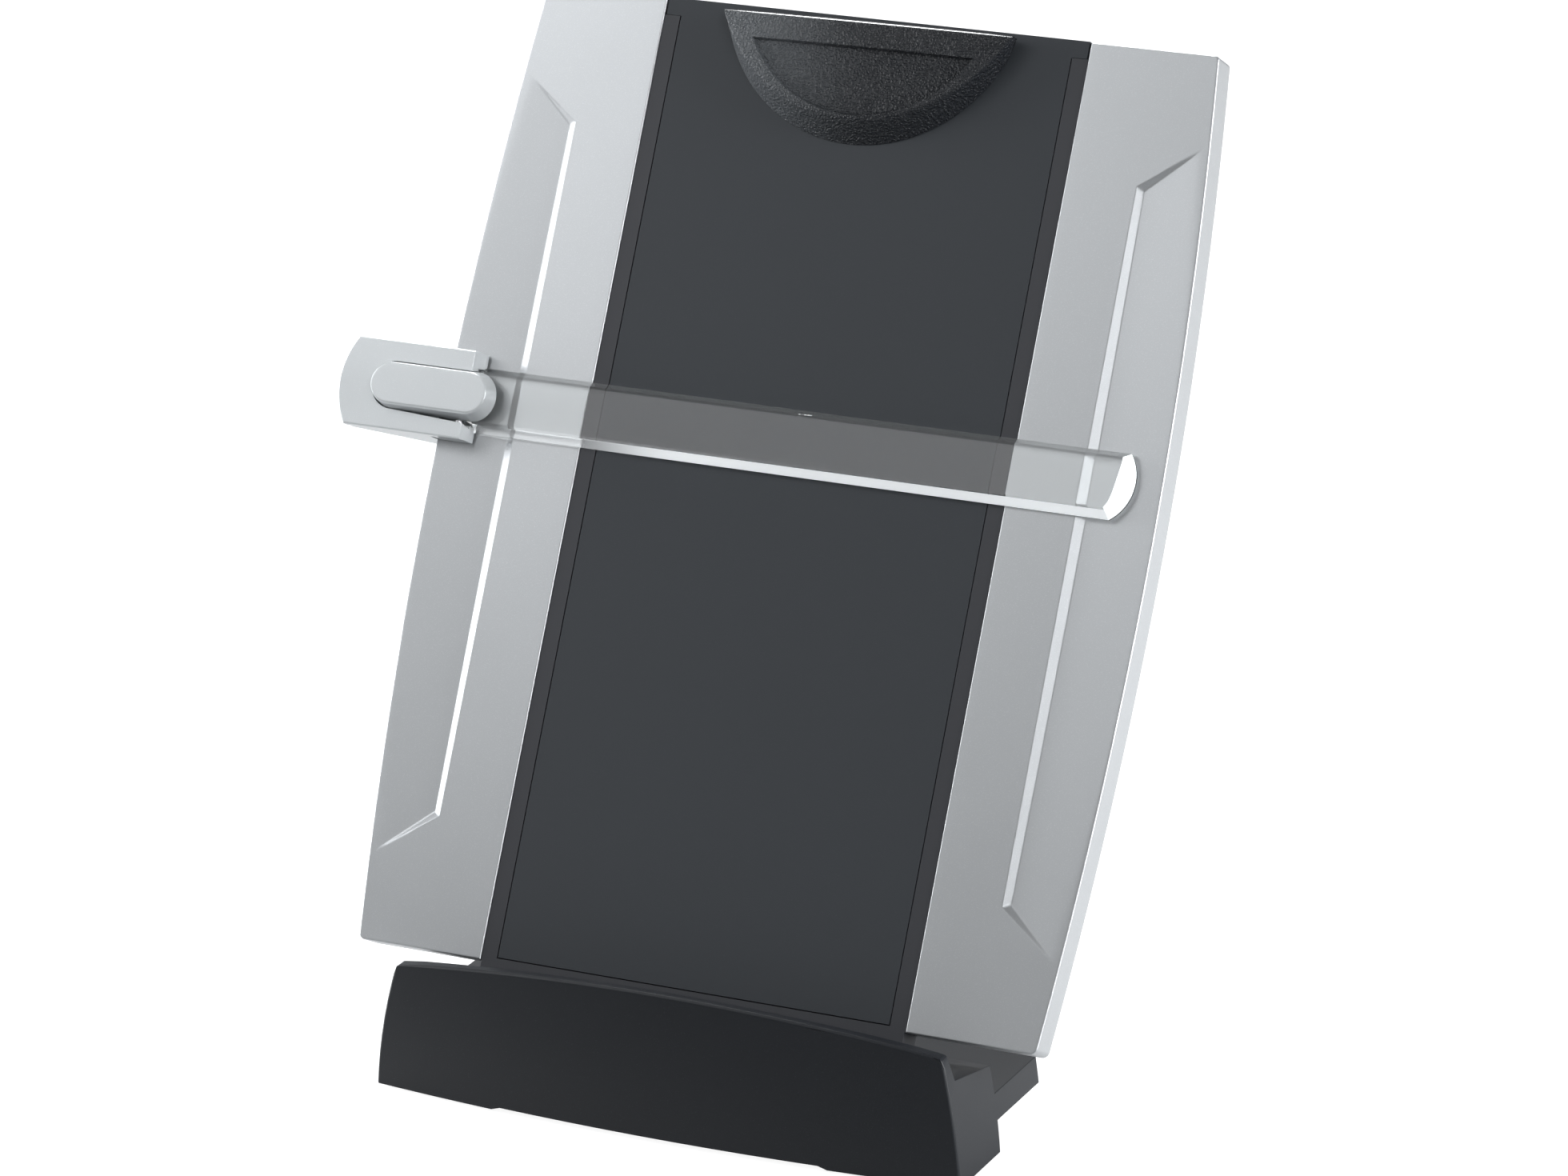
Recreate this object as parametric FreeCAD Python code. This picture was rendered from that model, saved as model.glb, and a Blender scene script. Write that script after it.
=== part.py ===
"""Copy holder with a sliding line guide.

A leaning board of black plastic with two silver side wings stands in the
socket of a low moulded base.  A clear ruler with a press lever rides up and
down the left edge of the board on a clamp, and a sprung memo clip sits at the
top of the board.

World frame: X across the board, Y to the rear, Z up, the desk at Z = 0.
Board frame: X across, Y up along the board, Z out of its front face, with the
origin at the middle of the board's bottom line.  Lengths in millimetres.
"""
import os
import FreeCAD
import Part
from math import cos, sin, tan, pi, radians, sqrt

V = FreeCAD.Vector

# ---------------------------------------------------------------- board
LEAN = 26.65            # board leans back from the vertical, degrees
HALF_W = 120.0          # half the width at the widest point of the wings
BOW_R = 1592.0          # radius of the bowed outer edges
BOW_MID = 148.6         # height of the widest point
BOARD_H = 304.7         # height of the black centre panel
WING_STEP = 0.3         # the wings end this far below the panel's top
BOARD_T = 10.3          # thickness of the board
CENTRE_HALF = 71.0      # half width of the black centre
INSERT_RIM = 5.3        # rim of the centre beside the insert sheet
INSERT_LOW = 1.2        # lower edge of the insert sheet
INSERT_T = 2.0          # thickness of the insert sheet
TAB_H = 5.6             # wide head of the insert sheet
WING_PROUD = 0.3        # wings stand this far in front of the centre
SKIN = 2.3              # moulded wall of the board parts
SKIRT = 2.4             # edge wall of the wings
COVER_T = 1.8           # rear cover
JOINT_GAP = 0.1         # between parts that are assembled side by side
FIT_GAP = 0.15          # between a part and the recess it drops into
EDGE_BREAK = 0.4        # bevel of visible edges
WING_CORNER_LOW = 5.0   # lower outer corner of a wing
WING_CORNER_TOP = 3.0   # upper outer corner of a wing

# ---------------------------------------------------------------- finger wedge in each wing
CREST_IN = 26.0         # inner crest line, from the widest point
CREST_LOW = 41.5        # crest corner, lower
CREST_DROP = 42.3       # crest corner, upper, below the wing's top
WEDGE_DEPTH = 1.6       # depth at the inner crest
WEDGE_BEVEL = 2.9       # width of the bevelled border
WEDGE_FLARE = 35.3      # angle of the flared ends, degrees

# ---------------------------------------------------------------- tongue and base
TONGUE_L = 27.0         # tongue below the wings
TONGUE_IN = 0.4         # tongue narrower than the centre, each side
SOCKET_GAP = 0.2        # tongue in socket, each side
BASE_TOP = 38.0         # board's bottom line above the base's underside
FOOT_H = 1.0            # feet stand out below the base
BOARD_Y = 7.0           # board's bottom line behind the front foot's middle
FRONT_Y = -18.4         # foremost point of the base
FRONT_R = 775.0         # plan radius of the bowed front
FRONT_BULGE = 0.6       # belly of the front face
FRONT_DRAFT = 2.7       # front face leans back by this at the lip
LIP_ARCH = 6.6          # lip is higher in the middle than at its ends
LIP_TOP = 8.5           # middle of the lip above the board's bottom line
LIP_T = 3.2             # thickness of the lip
LIP_BREAK = 0.6         # bevel round the front face
END_TOP = 90.7          # half length of the base at the lip
END_LOW = 97.4          # half length of the base at the desk
END_BULGE = 1.0         # belly of the end faces
TROUGH_FRONT = -7.1     # trough floor at the lip, from the board's bottom line
TROUGH_REAR = -10.8     # trough floor at the rear edge
BLOCK_REAR = 18.2       # rear face of the front block
LEDGE_TOP = 19.4        # rear ledge, top
LEDGE_T = 8.4           # rear ledge, thickness
LEDGE_REAR = 50.3       # rear edge of the ledge
TAIL_REAR = 116.0       # rear end of the tail foot
TAIL_HALF = 58.0        # half width of the tail at the ledge
TAIL_TAPER = 12.0       # the tail narrows by this, each side
TAIL_LOW = 8.0          # top of the tail at its rear end
TAIL_ROUND = 14.0       # rear corners of the tail
BASE_WALL = 2.6         # moulded wall of the base
BASE_COVER_T = 2.0      # bottom cover
SKIRT_RELIEF = 1.0      # front skirt is raised between its ends
RELIEF_HALF = 53.0      # half length of the raised part

# ---------------------------------------------------------------- memo clip
CLIP_HALF = 50.6        # half width of the jaw at the board
CLIP_SET = 2.7          # upper edge below the board's top
CLIP_DROP = 37.7        # depth of the jaw along the board
CLIP_H = 8.2            # height over the board
CLIP_SLOPE_LOW = 6.6    # the border slopes in by this at the bottom
CLIP_SLOPE_SIDE = 3.2   # and by this at the upper corners
CLIP_CROWN = 1.1        # set-back of the rounded crown, each way
CLIP_WALL = 2.0
CLIP_RUN = 0.4          # jaw over the board
SCOOP_HALF = 36.5       # finger scoop, half width
SCOOP_SET = 8.5         # scoop's upper edge below the jaw's
SCOOP_DROP = 21.1       # depth of the scoop along the board
SCOOP_DEPTH = 2.6       # depth at the upper edge
SCOOP_LIP = 0.5         # depth at the lower rim
CLIP_AXIS_SET = 4.4     # hinge line below the jaw's upper edge
CLIP_AXIS_Z = 3.4
CLIP_PIN_R = 1.2
EAR_X = 29.0            # bearing ears of the hinge
EAR_T = 3.0
EAR_R = 2.6
EAR_ROOT = 1.2          # upper half of the ear's root
EAR_GAP = 0.3           # jaw around the ears
CLIP_ANGLE = 20.0       # the jaw opens by this, degrees

# ---------------------------------------------------------------- clamp, lever and ruler
GRIP_Y = 171.35         # middle of the clamp on the board
GRIP_H = 28.1           # its height
GRIP_OUT = 33.7         # outermost point beyond the board's widest
GRIP_IN = 12.5          # prong ends inside the board's widest
GRIP_ARC = 4.2          # bow of its outer end
GRIP_TOP = 8.0          # front face over the board
PLATE_T = 3.2           # front plate
PRONG = 4.9             # height of a prong
PRONG_LIFT = 0.5        # prongs over the board
PRONG_SLOPE = 2.4       # the prongs' ends slope in by this at the front
CLAMP_T = 2.3           # rear plate of the clamp
CLAMP_GAP = 0.4         # rear plate behind the board
CLAMP_REACH = 28.0      # inner end of the rear plate, from the widest point
EDGE_GAP = 0.6          # clamp wall beside the board's edge
TIP_T = 1.4             # tip of the wedge body
HINGE_IN = 4.5          # lever's pin behind the prong ends
HINGE_Z = 3.6
PIN_R = 1.2
PIN_RUN = 0.05          # running fit of a pin in its lever
HUB_R = 2.8
PRESS_ANGLE = 8.0       # travel of the lever, degrees
PILL_SET = 13.0         # pill's outer end inside the clamp's
PILL_L = 40.0           # length of the pill's top
PILL_HALF = 6.6         # half width of the pill's top
PILL_TOP = 12.0
PILL_DRAFT = 10.0       # draft of its walls, degrees
BAR_BACK = 0.6          # ruler over the board
BAR_T = 4.4             # thickness of the ruler
BAR_DOWN = 10.75        # lower edge below the clamp's middle
BAR_UP = 9.85           # upper edge above it
BAR_SET = 8.5           # free end inside the board's widest
BAR_EDGE = 1.0          # straight part of the ruler's edge
BEVEL_LOW = 3.2         # bevel widths of the ruler
BEVEL_TOP = 1.8
BEVEL_END = 5.0
BAR_END_R = 14.5        # radius of the ruler's free end

# ---------------------------------------------------------------- guide channel behind the left wing
RAIL_SET = 19.0         # middle of the channel, from the widest point
RAIL_W = 10.0
RAIL_WALL = 0.8
RAIL_SLOT = 4.4
RAIL_LOW = 40.0
RAIL_DROP = 32.4        # upper end below the wing's top
RAIL_SEAT = -4.3        # channel's floor in the board
RUN_GAP = 0.2           # runner in channel
RUNNER_L = 24.0

# ---------------------------------------------------------------- screws and ribs
SCREW_R = 1.1           # shank
HEAD_R = 2.4            # head
HEAD_T = 1.2
SCREW_L = 6.0           # in the board
BASE_SCREW_L = 9.0      # in the base
BOSS_R = 3.4            # screw boss
PILOT_R = 1.2           # hole in the boss
RIB_T = 1.6             # ribs of the board

# ---------------------------------------------------------------- places that follow from these sizes
FAR = 150.0             # clear of everything, for cutting bodies
WING_H = BOARD_H - WING_STEP
INSERT_HALF = CENTRE_HALF - INSERT_RIM
TONGUE_HALF = CENTRE_HALF - TONGUE_IN
CREST_X = HALF_W - CREST_IN
CREST_TOP = WING_H - CREST_DROP
CLIP_TOP = BOARD_H - CLIP_SET
CLIP_LOW = CLIP_TOP - CLIP_DROP
SCOOP_TOP = CLIP_TOP - SCOOP_SET
SCOOP_LOW = SCOOP_TOP - SCOOP_DROP
CLIP_AXIS_Y = CLIP_TOP - CLIP_AXIS_SET
GRIP_LEFT = -(HALF_W + GRIP_OUT)
GRIP_END = -(HALF_W - GRIP_IN)
CLAMP_IN = -(HALF_W - CLAMP_REACH)
HINGE_X = GRIP_END - HINGE_IN
PILL_LEFT = GRIP_LEFT + PILL_SET
PILL_RIGHT = PILL_LEFT + PILL_L
BAR_LOW = GRIP_Y - BAR_DOWN
BAR_TOP = GRIP_Y + BAR_UP
BAR_END = HALF_W - BAR_SET
RAIL_X = -(HALF_W - RAIL_SET)
RAIL_TOP = WING_H - RAIL_DROP

TILT = 90.0 - LEAN
BOARD_AT = V(0, BOARD_Y, BASE_TOP + FOOT_H)
UNDERSIDE = FOOT_H
BOARD_LINE = BASE_TOP + FOOT_H


def on_board(shape):
    """Move a shape from the board frame into the world frame."""
    out = shape.copy()
    lean = FreeCAD.Placement(BOARD_AT, FreeCAD.Rotation(V(1, 0, 0), TILT))
    out.Placement = lean.multiply(out.Placement)
    return out


def line(*pts):
    """Closed polygon through the points."""
    pts = [V(*p) for p in pts]
    return Part.makePolygon(pts + [pts[0]])


def prism(wire, vec):
    return Part.Face(wire).extrude(V(*vec))


def block(x0, x1, y0, y1, z0, z1):
    return Part.makeBox(x1 - x0, y1 - y0, z1 - z0, V(x0, y0, z0))


def rod(r, length, at, axis):
    return Part.makeCylinder(r, length, V(*at), V(*axis))


def stud(r, length, at, up=1, sides=12):
    """Few-sided rod along Z: screws, bosses and the holes for them."""
    ring = [(r * cos(2 * pi * i / sides), r * sin(2 * pi * i / sides), 0) for i in range(sides)]
    body = prism(line(*ring), (0, 0, up * length))
    body.translate(V(*at))
    return body


def arc(a, b, c):
    return Part.Arc(V(*a), V(*b), V(*c)).toShape()


def seg(a, b):
    return Part.LineSegment(V(*a), V(*b)).toShape()


def vertical_edges(shape, keep):
    """Edges that run along Z and whose middle passes the test."""
    out = []
    for e in shape.Edges:
        d = e.Vertexes[-1].Point - e.Vertexes[0].Point
        if d.Length > 1e-6 and abs(d.z) > 0.98 * d.Length and keep(e.CenterOfMass):
            out.append(e)
    return out


def flat_edges(shape, z, tol=1e-4):
    """Edges that lie in the plane Z = z."""
    return [e for e in shape.Edges
            if all(abs(v.Point.z - z) < tol for v in e.Vertexes)
            and abs(e.CenterOfMass.z - z) < tol]


def sleeve(r, wire_r, length, at, axis):
    """Envelope of a close-wound spring."""
    return rod(r + wire_r, length, at, axis).cut(rod(r - wire_r, length, at, axis))


# ================================================================ board
def edge_x(y, inset=0.0):
    """Half width of the bowed board at a height."""
    return HALF_W - BOW_R + sqrt((BOW_R - inset) ** 2 - (y - BOW_MID) ** 2)


def wing_face(side, inset, x_in):
    """Outline of a wing, drawn inward by inset, from its inner edge outward."""
    y0, y1 = inset, WING_H - inset
    a, b = (side * x_in, y0, 0), (side * edge_x(y0, inset), y0, 0)
    m = (side * edge_x(BOW_MID, inset), BOW_MID, 0)
    c, d = (side * edge_x(y1, inset), y1, 0), (side * x_in, y1, 0)
    return Part.Face(Part.Wire([seg(a, b), arc(b, m, c), seg(c, d), seg(d, a)]))


def wing_solid(side, inset, x_in, z0, z1):
    s = wing_face(side, inset, x_in).extrude(V(0, 0, z1 - z0))
    s.translate(V(0, 0, z0))
    low = vertical_edges(s, lambda c: side * c.x > x_in + 5 and c.y < BOW_MID)
    s = s.makeFillet(WING_CORNER_LOW - inset, low)
    top = vertical_edges(s, lambda c: side * c.x > x_in + 5 and c.y > WING_H - inset - 0.5)
    return s.makeFillet(max(WING_CORNER_TOP - inset, 0.5), top)


def wedge_outline(side, grow, z):
    """Border of the finger wedge: straight crest with flared ends."""
    t = tan(radians(WEDGE_FLARE))
    shift = grow / cos(radians(WEDGE_FLARE))
    x0, x1 = CREST_X + grow, HALF_W + 8
    y0 = CREST_LOW + shift - grow * t
    y1 = CREST_TOP - shift + grow * t
    run = (x1 - x0) * t
    return line((side * x0, y0, z), (side * x1, y0 - run, z),
                (side * x1, y1 + run, z), (side * x0, y1, z))


def wedge_cut(side):
    """Shallow wedge that deepens from the wing's edge to the inner crest."""
    deep = 2.5 * WEDGE_DEPTH
    pocket = Part.makeLoft([wedge_outline(side, -WEDGE_BEVEL * 0.5, WING_PROUD + WEDGE_DEPTH * 0.5),
                            wedge_outline(side, WEDGE_BEVEL * 2.5, WING_PROUD - deep)], True, True)
    floor_x = CREST_X + WEDGE_BEVEL
    slope = WEDGE_DEPTH / (HALF_W - floor_x)
    out_x, in_x = HALF_W + 10, CREST_X - 10
    floor = prism(line((side * in_x, 0, WING_PROUD - slope * (HALF_W - in_x)),
                       (side * out_x, 0, WING_PROUD + slope * (out_x - HALF_W)),
                       (side * out_x, 0, 20), (side * in_x, 0, 20)), (0, WING_H, 0))
    return pocket.common(floor)


def spread(lo, hi, pitch):
    """Evenly spaced places from lo to hi, about pitch apart."""
    n = max(round((hi - lo) / pitch), 1)
    return [lo + i * (hi - lo) / n for i in range(n + 1)]


END_BOSS = 17.0                      # end bosses from the wing's ends
BOSS_X = (CENTRE_HALF + HALF_W) / 2 - 4.0
INNER_BOSS_X = CENTRE_HALF + 9.0
WING_BOSSES = ((BOSS_X, END_BOSS), (BOSS_X, WING_H - END_BOSS), (INNER_BOSS_X, BOW_MID - 10.0))
RIB_Y = spread(2 * END_BOSS, WING_H - 2 * END_BOSS, 60.0)
COVER_IN = -(BOARD_T - COVER_T)      # inner face of the rear cover
WEB = -(INSERT_T + SKIN - 0.1)       # rear face of the centre frame's web


def wing(side):
    body = wing_solid(side, 0.0, CENTRE_HALF + JOINT_GAP / 2, -BOARD_T, WING_PROUD)
    body = body.makeChamfer(EDGE_BREAK, flat_edges(body, WING_PROUD))
    body = body.cut(wedge_cut(side))
    hollow = wing_solid(side, SKIRT, CENTRE_HALF + SKIRT, -BOARD_T - 1, WING_PROUD - SKIN - WEDGE_DEPTH)
    ribs = [block(min(side * CENTRE_HALF, side * HALF_W), max(side * CENTRE_HALF, side * HALF_W),
                  y - RIB_T / 2, y + RIB_T / 2, COVER_IN, 0) for y in RIB_Y]
    bosses = [stud(BOSS_R, BOARD_T, (side * x, y, COVER_IN)) for x, y in WING_BOSSES]
    keep = ribs[0].multiFuse(ribs[1:] + bosses)
    shallow = [block(min(side * (CENTRE_HALF + SKIRT), side * (CREST_X - 3)),
                     max(side * (CENTRE_HALF + SKIRT), side * (CREST_X - 3)),
                     SKIRT, WING_H - SKIRT, -6, WING_PROUD - SKIN)]
    hollow = hollow.fuse(shallow[0]).cut(keep)
    x0, x1 = sorted((side * CENTRE_HALF, side * (CENTRE_HALF + SKIRT + 1)))
    cover_seat = block(x0, x1, SKIRT, WING_H - SKIRT, -BOARD_T - 1, COVER_IN)
    body = body.cut(hollow).cut(cover_seat)
    cuts = [stud(PILOT_R, BOARD_T - 3.0, (side * x, y, COVER_IN - 1), sides=6) for x, y in WING_BOSSES]
    if side < 0:
        cuts.append(block(RAIL_X - RAIL_W / 2 - FIT_GAP, RAIL_X + RAIL_W / 2 + FIT_GAP,
                          RAIL_LOW - FIT_GAP, RAIL_TOP + FIT_GAP, -BOARD_T - 1, RAIL_SEAT))
    return body.cut(cuts[0].multiFuse(cuts[1:])).removeSplitter()


TONGUE_CELLS = 6
CENTRE_RIBS = spread(40.0, BOARD_H - 40.0, 56.0)
CENTRE_BOSS = ((0.0, 66.0), (0.0, BOARD_H - 72.0))


def ear(x, grow=0.0):
    """Bearing ear of the clip's hinge; its root leaves room for the tipping heel."""
    foot = block(x - EAR_T / 2 - grow, x + EAR_T / 2 + grow, CLIP_AXIS_Y - EAR_R - grow,
                 CLIP_AXIS_Y + EAR_ROOT + grow, -INSERT_T - 0.5, CLIP_AXIS_Z)
    head = rod(EAR_R + grow, EAR_T + 2 * grow, (x - EAR_T / 2 - grow, CLIP_AXIS_Y, CLIP_AXIS_Z), (1, 0, 0))
    return foot.fuse(head)


def centre_frame():
    half = CENTRE_HALF - JOINT_GAP / 2
    body = block(-half, half, 0, BOARD_H, COVER_IN, 0)
    for y0, y1 in ((0, SKIRT), (BOARD_H - SKIRT, BOARD_H)):
        body = body.fuse(block(-half, half, y0, y1, -BOARD_T, COVER_IN + 0.5))
    tongue = block(-TONGUE_HALF, TONGUE_HALF, -TONGUE_L, 1, -BOARD_T, 0)
    tip = [e for e in tongue.Edges if abs(e.CenterOfMass.y + TONGUE_L) < 1e-6]
    tongue = tongue.makeChamfer(1.0, tip)
    body = body.fuse(tongue)
    # seat of the insert sheet, with the wide head at the top
    seat = block(-INSERT_HALF, INSERT_HALF, INSERT_LOW, BOARD_H + 1, -INSERT_T, 1)
    head = block(-half - 1, half + 1, BOARD_H - TAB_H, BOARD_H + 1, -INSERT_T, 1)
    body = body.cut(seat.fuse(head))
    # open ribbed rear
    hollow = block(-half + SKIN, half - SKIN, SKIRT, BOARD_H - SKIRT, -BOARD_T - 1, WEB)
    keep = [block(-half, half, y - RIB_T / 2, y + RIB_T / 2, COVER_IN, 0) for y in CENTRE_RIBS]
    keep += [block(x - RIB_T / 2, x + RIB_T / 2, 0, BOARD_H, COVER_IN, 0) for x in (-28.0, 28.0)]
    keep += [stud(BOSS_R, BOARD_T, (x, y, COVER_IN)) for x, y in CENTRE_BOSS]
    body = body.cut(hollow.cut(keep[0].multiFuse(keep[1:])))
    # moulded cells of the tongue, open at its lower end
    pitch = 2 * (TONGUE_HALF - SKIN) / TONGUE_CELLS
    cells = [block(-TONGUE_HALF + SKIN + i * pitch + RIB_T / 2, -TONGUE_HALF + SKIN + (i + 1) * pitch - RIB_T / 2,
                   -TONGUE_L - 1, -SKIN, -BOARD_T + SKIN, -SKIN) for i in range(TONGUE_CELLS)]
    body = body.cut(cells[0].multiFuse(cells[1:]))
    body = body.cut(Part.makeCompound([stud(PILOT_R, BOARD_T - 4.0, (x, y, COVER_IN - 1), sides=6)
                                       for x, y in CENTRE_BOSS]))
    for side in (-1, 1):
        body = body.fuse(ear(side * EAR_X))
    bore = rod(CLIP_PIN_R, 4 * EAR_X, (-2 * EAR_X, CLIP_AXIS_Y, CLIP_AXIS_Z), (1, 0, 0))
    return body.cut(bore).removeSplitter()


def panel_insert():
    gap = JOINT_GAP
    body = block(-INSERT_HALF + gap, INSERT_HALF - gap, INSERT_LOW + gap, BOARD_H, -INSERT_T, 0)
    body = body.fuse(block(-CENTRE_HALF + 3 * gap, CENTRE_HALF - 3 * gap, BOARD_H - TAB_H + gap, BOARD_H, -INSERT_T, 0))
    body = body.removeSplitter()
    for side in (-1, 1):
        body = body.cut(ear(side * EAR_X, FIT_GAP))
    return body


def rear_cover():
    inset = SKIRT + FIT_GAP
    y0, y1 = inset, WING_H - inset
    a, b = (-edge_x(y0, inset), y0, -BOARD_T), (edge_x(y0, inset), y0, -BOARD_T)
    c, d = (edge_x(y1, inset), y1, -BOARD_T), (-edge_x(y1, inset), y1, -BOARD_T)
    wire = Part.Wire([seg(a, b), arc(b, (edge_x(BOW_MID, inset), BOW_MID, -BOARD_T), c), seg(c, d),
                      arc(d, (-edge_x(BOW_MID, inset), BOW_MID, -BOARD_T), a)])
    body = prism(wire, (0, 0, COVER_T))
    low = vertical_edges(body, lambda p: p.y < BOW_MID)
    body = body.makeFillet(WING_CORNER_LOW - SKIRT, low)
    body = body.makeFillet(WING_CORNER_TOP - SKIRT + 0.2, vertical_edges(body, lambda p: p.y > WING_H - 2 * SKIRT))
    slot = block(RAIL_X - RAIL_SLOT / 2 - 0.3, RAIL_X + RAIL_SLOT / 2 + 0.3, RAIL_LOW, RAIL_TOP, -BOARD_T - 1, 0)
    body = body.cut(slot)
    return body.cut(Part.makeCompound([screw_seat(p) for p in cover_screw_points()]))


def cover_screw_points():
    return [(side * x, y) for side in (-1, 1) for x, y in WING_BOSSES] + list(CENTRE_BOSS)


def screw(grow, length):
    """Screw along +Z with its head's face at Z = 0."""
    return stud(HEAD_R + grow, HEAD_T, (0, 0, 0)).fuse(stud(SCREW_R + grow, length, (0, 0, 0), sides=6))


def screw_seat(p):
    s = screw(JOINT_GAP, SCREW_L)
    s.translate(V(p[0], p[1], -BOARD_T))
    return s


def cover_screws():
    out = []
    for x, y in cover_screw_points():
        s = screw(0.0, SCREW_L)
        s.translate(V(x, y, -BOARD_T))
        out.append(s)
    return Part.makeCompound(out)


def guide_channel():
    """Lipped channel behind the left wing in which the runner slides."""
    w, z0, z1 = RAIL_W / 2, RAIL_SEAT, COVER_IN
    body = block(RAIL_X - w, RAIL_X + w, RAIL_LOW, RAIL_TOP, z1, z0)
    body = body.cut(block(RAIL_X - w + RAIL_WALL, RAIL_X + w - RAIL_WALL, RAIL_LOW - 1, RAIL_TOP + 1,
                          z1 + RAIL_WALL, z0 - RAIL_WALL))
    return body.cut(block(RAIL_X - RAIL_SLOT / 2, RAIL_X + RAIL_SLOT / 2, RAIL_LOW - 1, RAIL_TOP + 1, z1 - 1, z0 - RAIL_WALL))


# ================================================================ memo clip
def half_disc(half, top, low, z):
    """Disc segment: straight upper edge and an arc below it."""
    return Part.Wire([arc((-half, top, z), (0, low, z), (half, top, z)), seg((half, top, z), (-half, top, z))])


def crown_levels(z0, z1):
    """Wall and rounded crown as outlines: share of the slope, set-back of the
    straight edge, and height."""
    q0 = 1 - CLIP_CROWN / sqrt(CLIP_SLOPE_LOW ** 2 + (z1 - z0) ** 2)
    q2 = 1 + CLIP_CROWN / CLIP_SLOPE_LOW
    h0 = z0 + q0 * (z1 - z0)
    return ((0, 0, z0), (q0, 0, h0), ((q0 + q2 + 2) / 4, 0.15 * CLIP_CROWN, (h0 + 3 * z1) / 4), (q2, 0.45 * CLIP_CROWN, z1))


def clip_jaw():
    z0, z1 = CLIP_RUN, CLIP_H
    body = Part.makeLoft([half_disc(CLIP_HALF - CLIP_SLOPE_SIDE * q, CLIP_TOP - set_back, CLIP_LOW + CLIP_SLOPE_LOW * q, z)
                          for q, set_back, z in crown_levels(z0, z1)], True, True)
    inner = Part.makeLoft([half_disc(CLIP_HALF - CLIP_WALL, CLIP_TOP - CLIP_WALL, CLIP_LOW + CLIP_WALL, z0 - 0.01),
                           half_disc(CLIP_HALF - CLIP_SLOPE_SIDE - CLIP_WALL - 1.6, CLIP_TOP - CLIP_WALL,
                                     CLIP_LOW + CLIP_SLOPE_LOW + CLIP_WALL + 0.4, z1 - CLIP_WALL - SCOOP_DEPTH + 0.6)],
                          True, True)
    # room for hinge and spring in the heel, with two knuckles for the pin
    reach = EAR_R + EAR_GAP
    heel = block(-EAR_X - 5, EAR_X + 5, CLIP_AXIS_Y - reach, CLIP_AXIS_Y + reach, z0 - 1, CLIP_AXIS_Z + reach)
    for side in (-1, 1):
        heel = heel.cut(block(side * (EAR_X - 6.0) - 1.5, side * (EAR_X - 6.0) + 1.5, CLIP_AXIS_Y - 5, CLIP_TOP,
                              CLIP_AXIS_Z - EAR_R, z1))
    body = body.cut(inner).cut(heel)
    # the heel is relieved so that it can tip towards the board
    run = CLIP_TOP + 1 - (CLIP_AXIS_Y - EAR_R)
    wide = CLIP_HALF + 5
    body = body.cut(prism(line((-wide, CLIP_TOP + 1 - run, z0 - 0.5), (-wide, CLIP_TOP + 1, z0 + run * tan(radians(CLIP_ANGLE + 2))),
                               (-wide, CLIP_TOP + 1, z0 - 0.5)), (2 * wide, 0, 0)))
    bore = rod(CLIP_PIN_R + PIN_RUN, 2 * EAR_X, (-EAR_X, CLIP_AXIS_Y, CLIP_AXIS_Z), (1, 0, 0))
    body = body.cut(bore)
    # finger scoop, deepest at its straight upper edge
    scoop = Part.Face(half_disc(SCOOP_HALF, SCOOP_TOP, SCOOP_LOW, z1 - SCOOP_DEPTH)).extrude(V(0, 0, 6))
    floor = prism(line((-wide, SCOOP_TOP + 1, z1 - SCOOP_DEPTH), (-wide, SCOOP_LOW - 1, z1 - SCOOP_LIP),
                       (-wide, SCOOP_LOW - 1, z1 + 6), (-wide, SCOOP_TOP + 1, z1 + 6)), (2 * wide, 0, 0))
    return body.cut(scoop.common(floor)).removeSplitter()


def clip_pin():
    half = EAR_X + EAR_T / 2
    return rod(CLIP_PIN_R, 2 * half, (-half, CLIP_AXIS_Y, CLIP_AXIS_Z), (1, 0, 0))


def clip_spring():
    return sleeve(1.9, 0.35, 5.0, (-2.5, CLIP_AXIS_Y, CLIP_AXIS_Z), (1, 0, 0))


# ================================================================ clamp and ruler
def grip_outline(inset, z):
    """Clamp seen from the front: straight edges and a bowed outer end."""
    y0, y1 = GRIP_Y - GRIP_H / 2 + inset, GRIP_Y + GRIP_H / 2 - inset
    x0, x1 = GRIP_LEFT + GRIP_ARC, GRIP_END
    return Part.Wire([seg((x1, y1, z), (x0 + inset, y1, z)),
                      arc((x0 + inset, y1, z), (GRIP_LEFT + inset, GRIP_Y, z), (x0 + inset, y0, z)),
                      seg((x0 + inset, y0, z), (x1, y0, z)), seg((x1, y0, z), (x1, y1, z))])


def pill_grow(z):
    """Growth of the pill's outline below its top face."""
    return (PILL_TOP - z) * tan(radians(PILL_DRAFT))


def pill_outline(grow, z):
    r = PILL_HALF + grow
    x0, x1 = PILL_LEFT + PILL_HALF, PILL_RIGHT - PILL_HALF
    return Part.Wire([seg((x1, GRIP_Y + r, z), (x0, GRIP_Y + r, z)),
                      arc((x0, GRIP_Y + r, z), (x0 - r, GRIP_Y, z), (x0, GRIP_Y - r, z)),
                      seg((x0, GRIP_Y - r, z), (x1, GRIP_Y - r, z)),
                      arc((x1, GRIP_Y - r, z), (x1 + r, GRIP_Y, z), (x1, GRIP_Y + r, z))])


NOTCH_GAP = 0.6         # pill in the notch of the front plate
NOTCH_OPEN = 1.9        # extra opening of the notch's lower side at the prongs
PLATE_BACK = GRIP_TOP - PLATE_T
NOTCH_HALF = PILL_HALF + pill_grow(PLATE_BACK) + NOTCH_GAP


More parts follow.
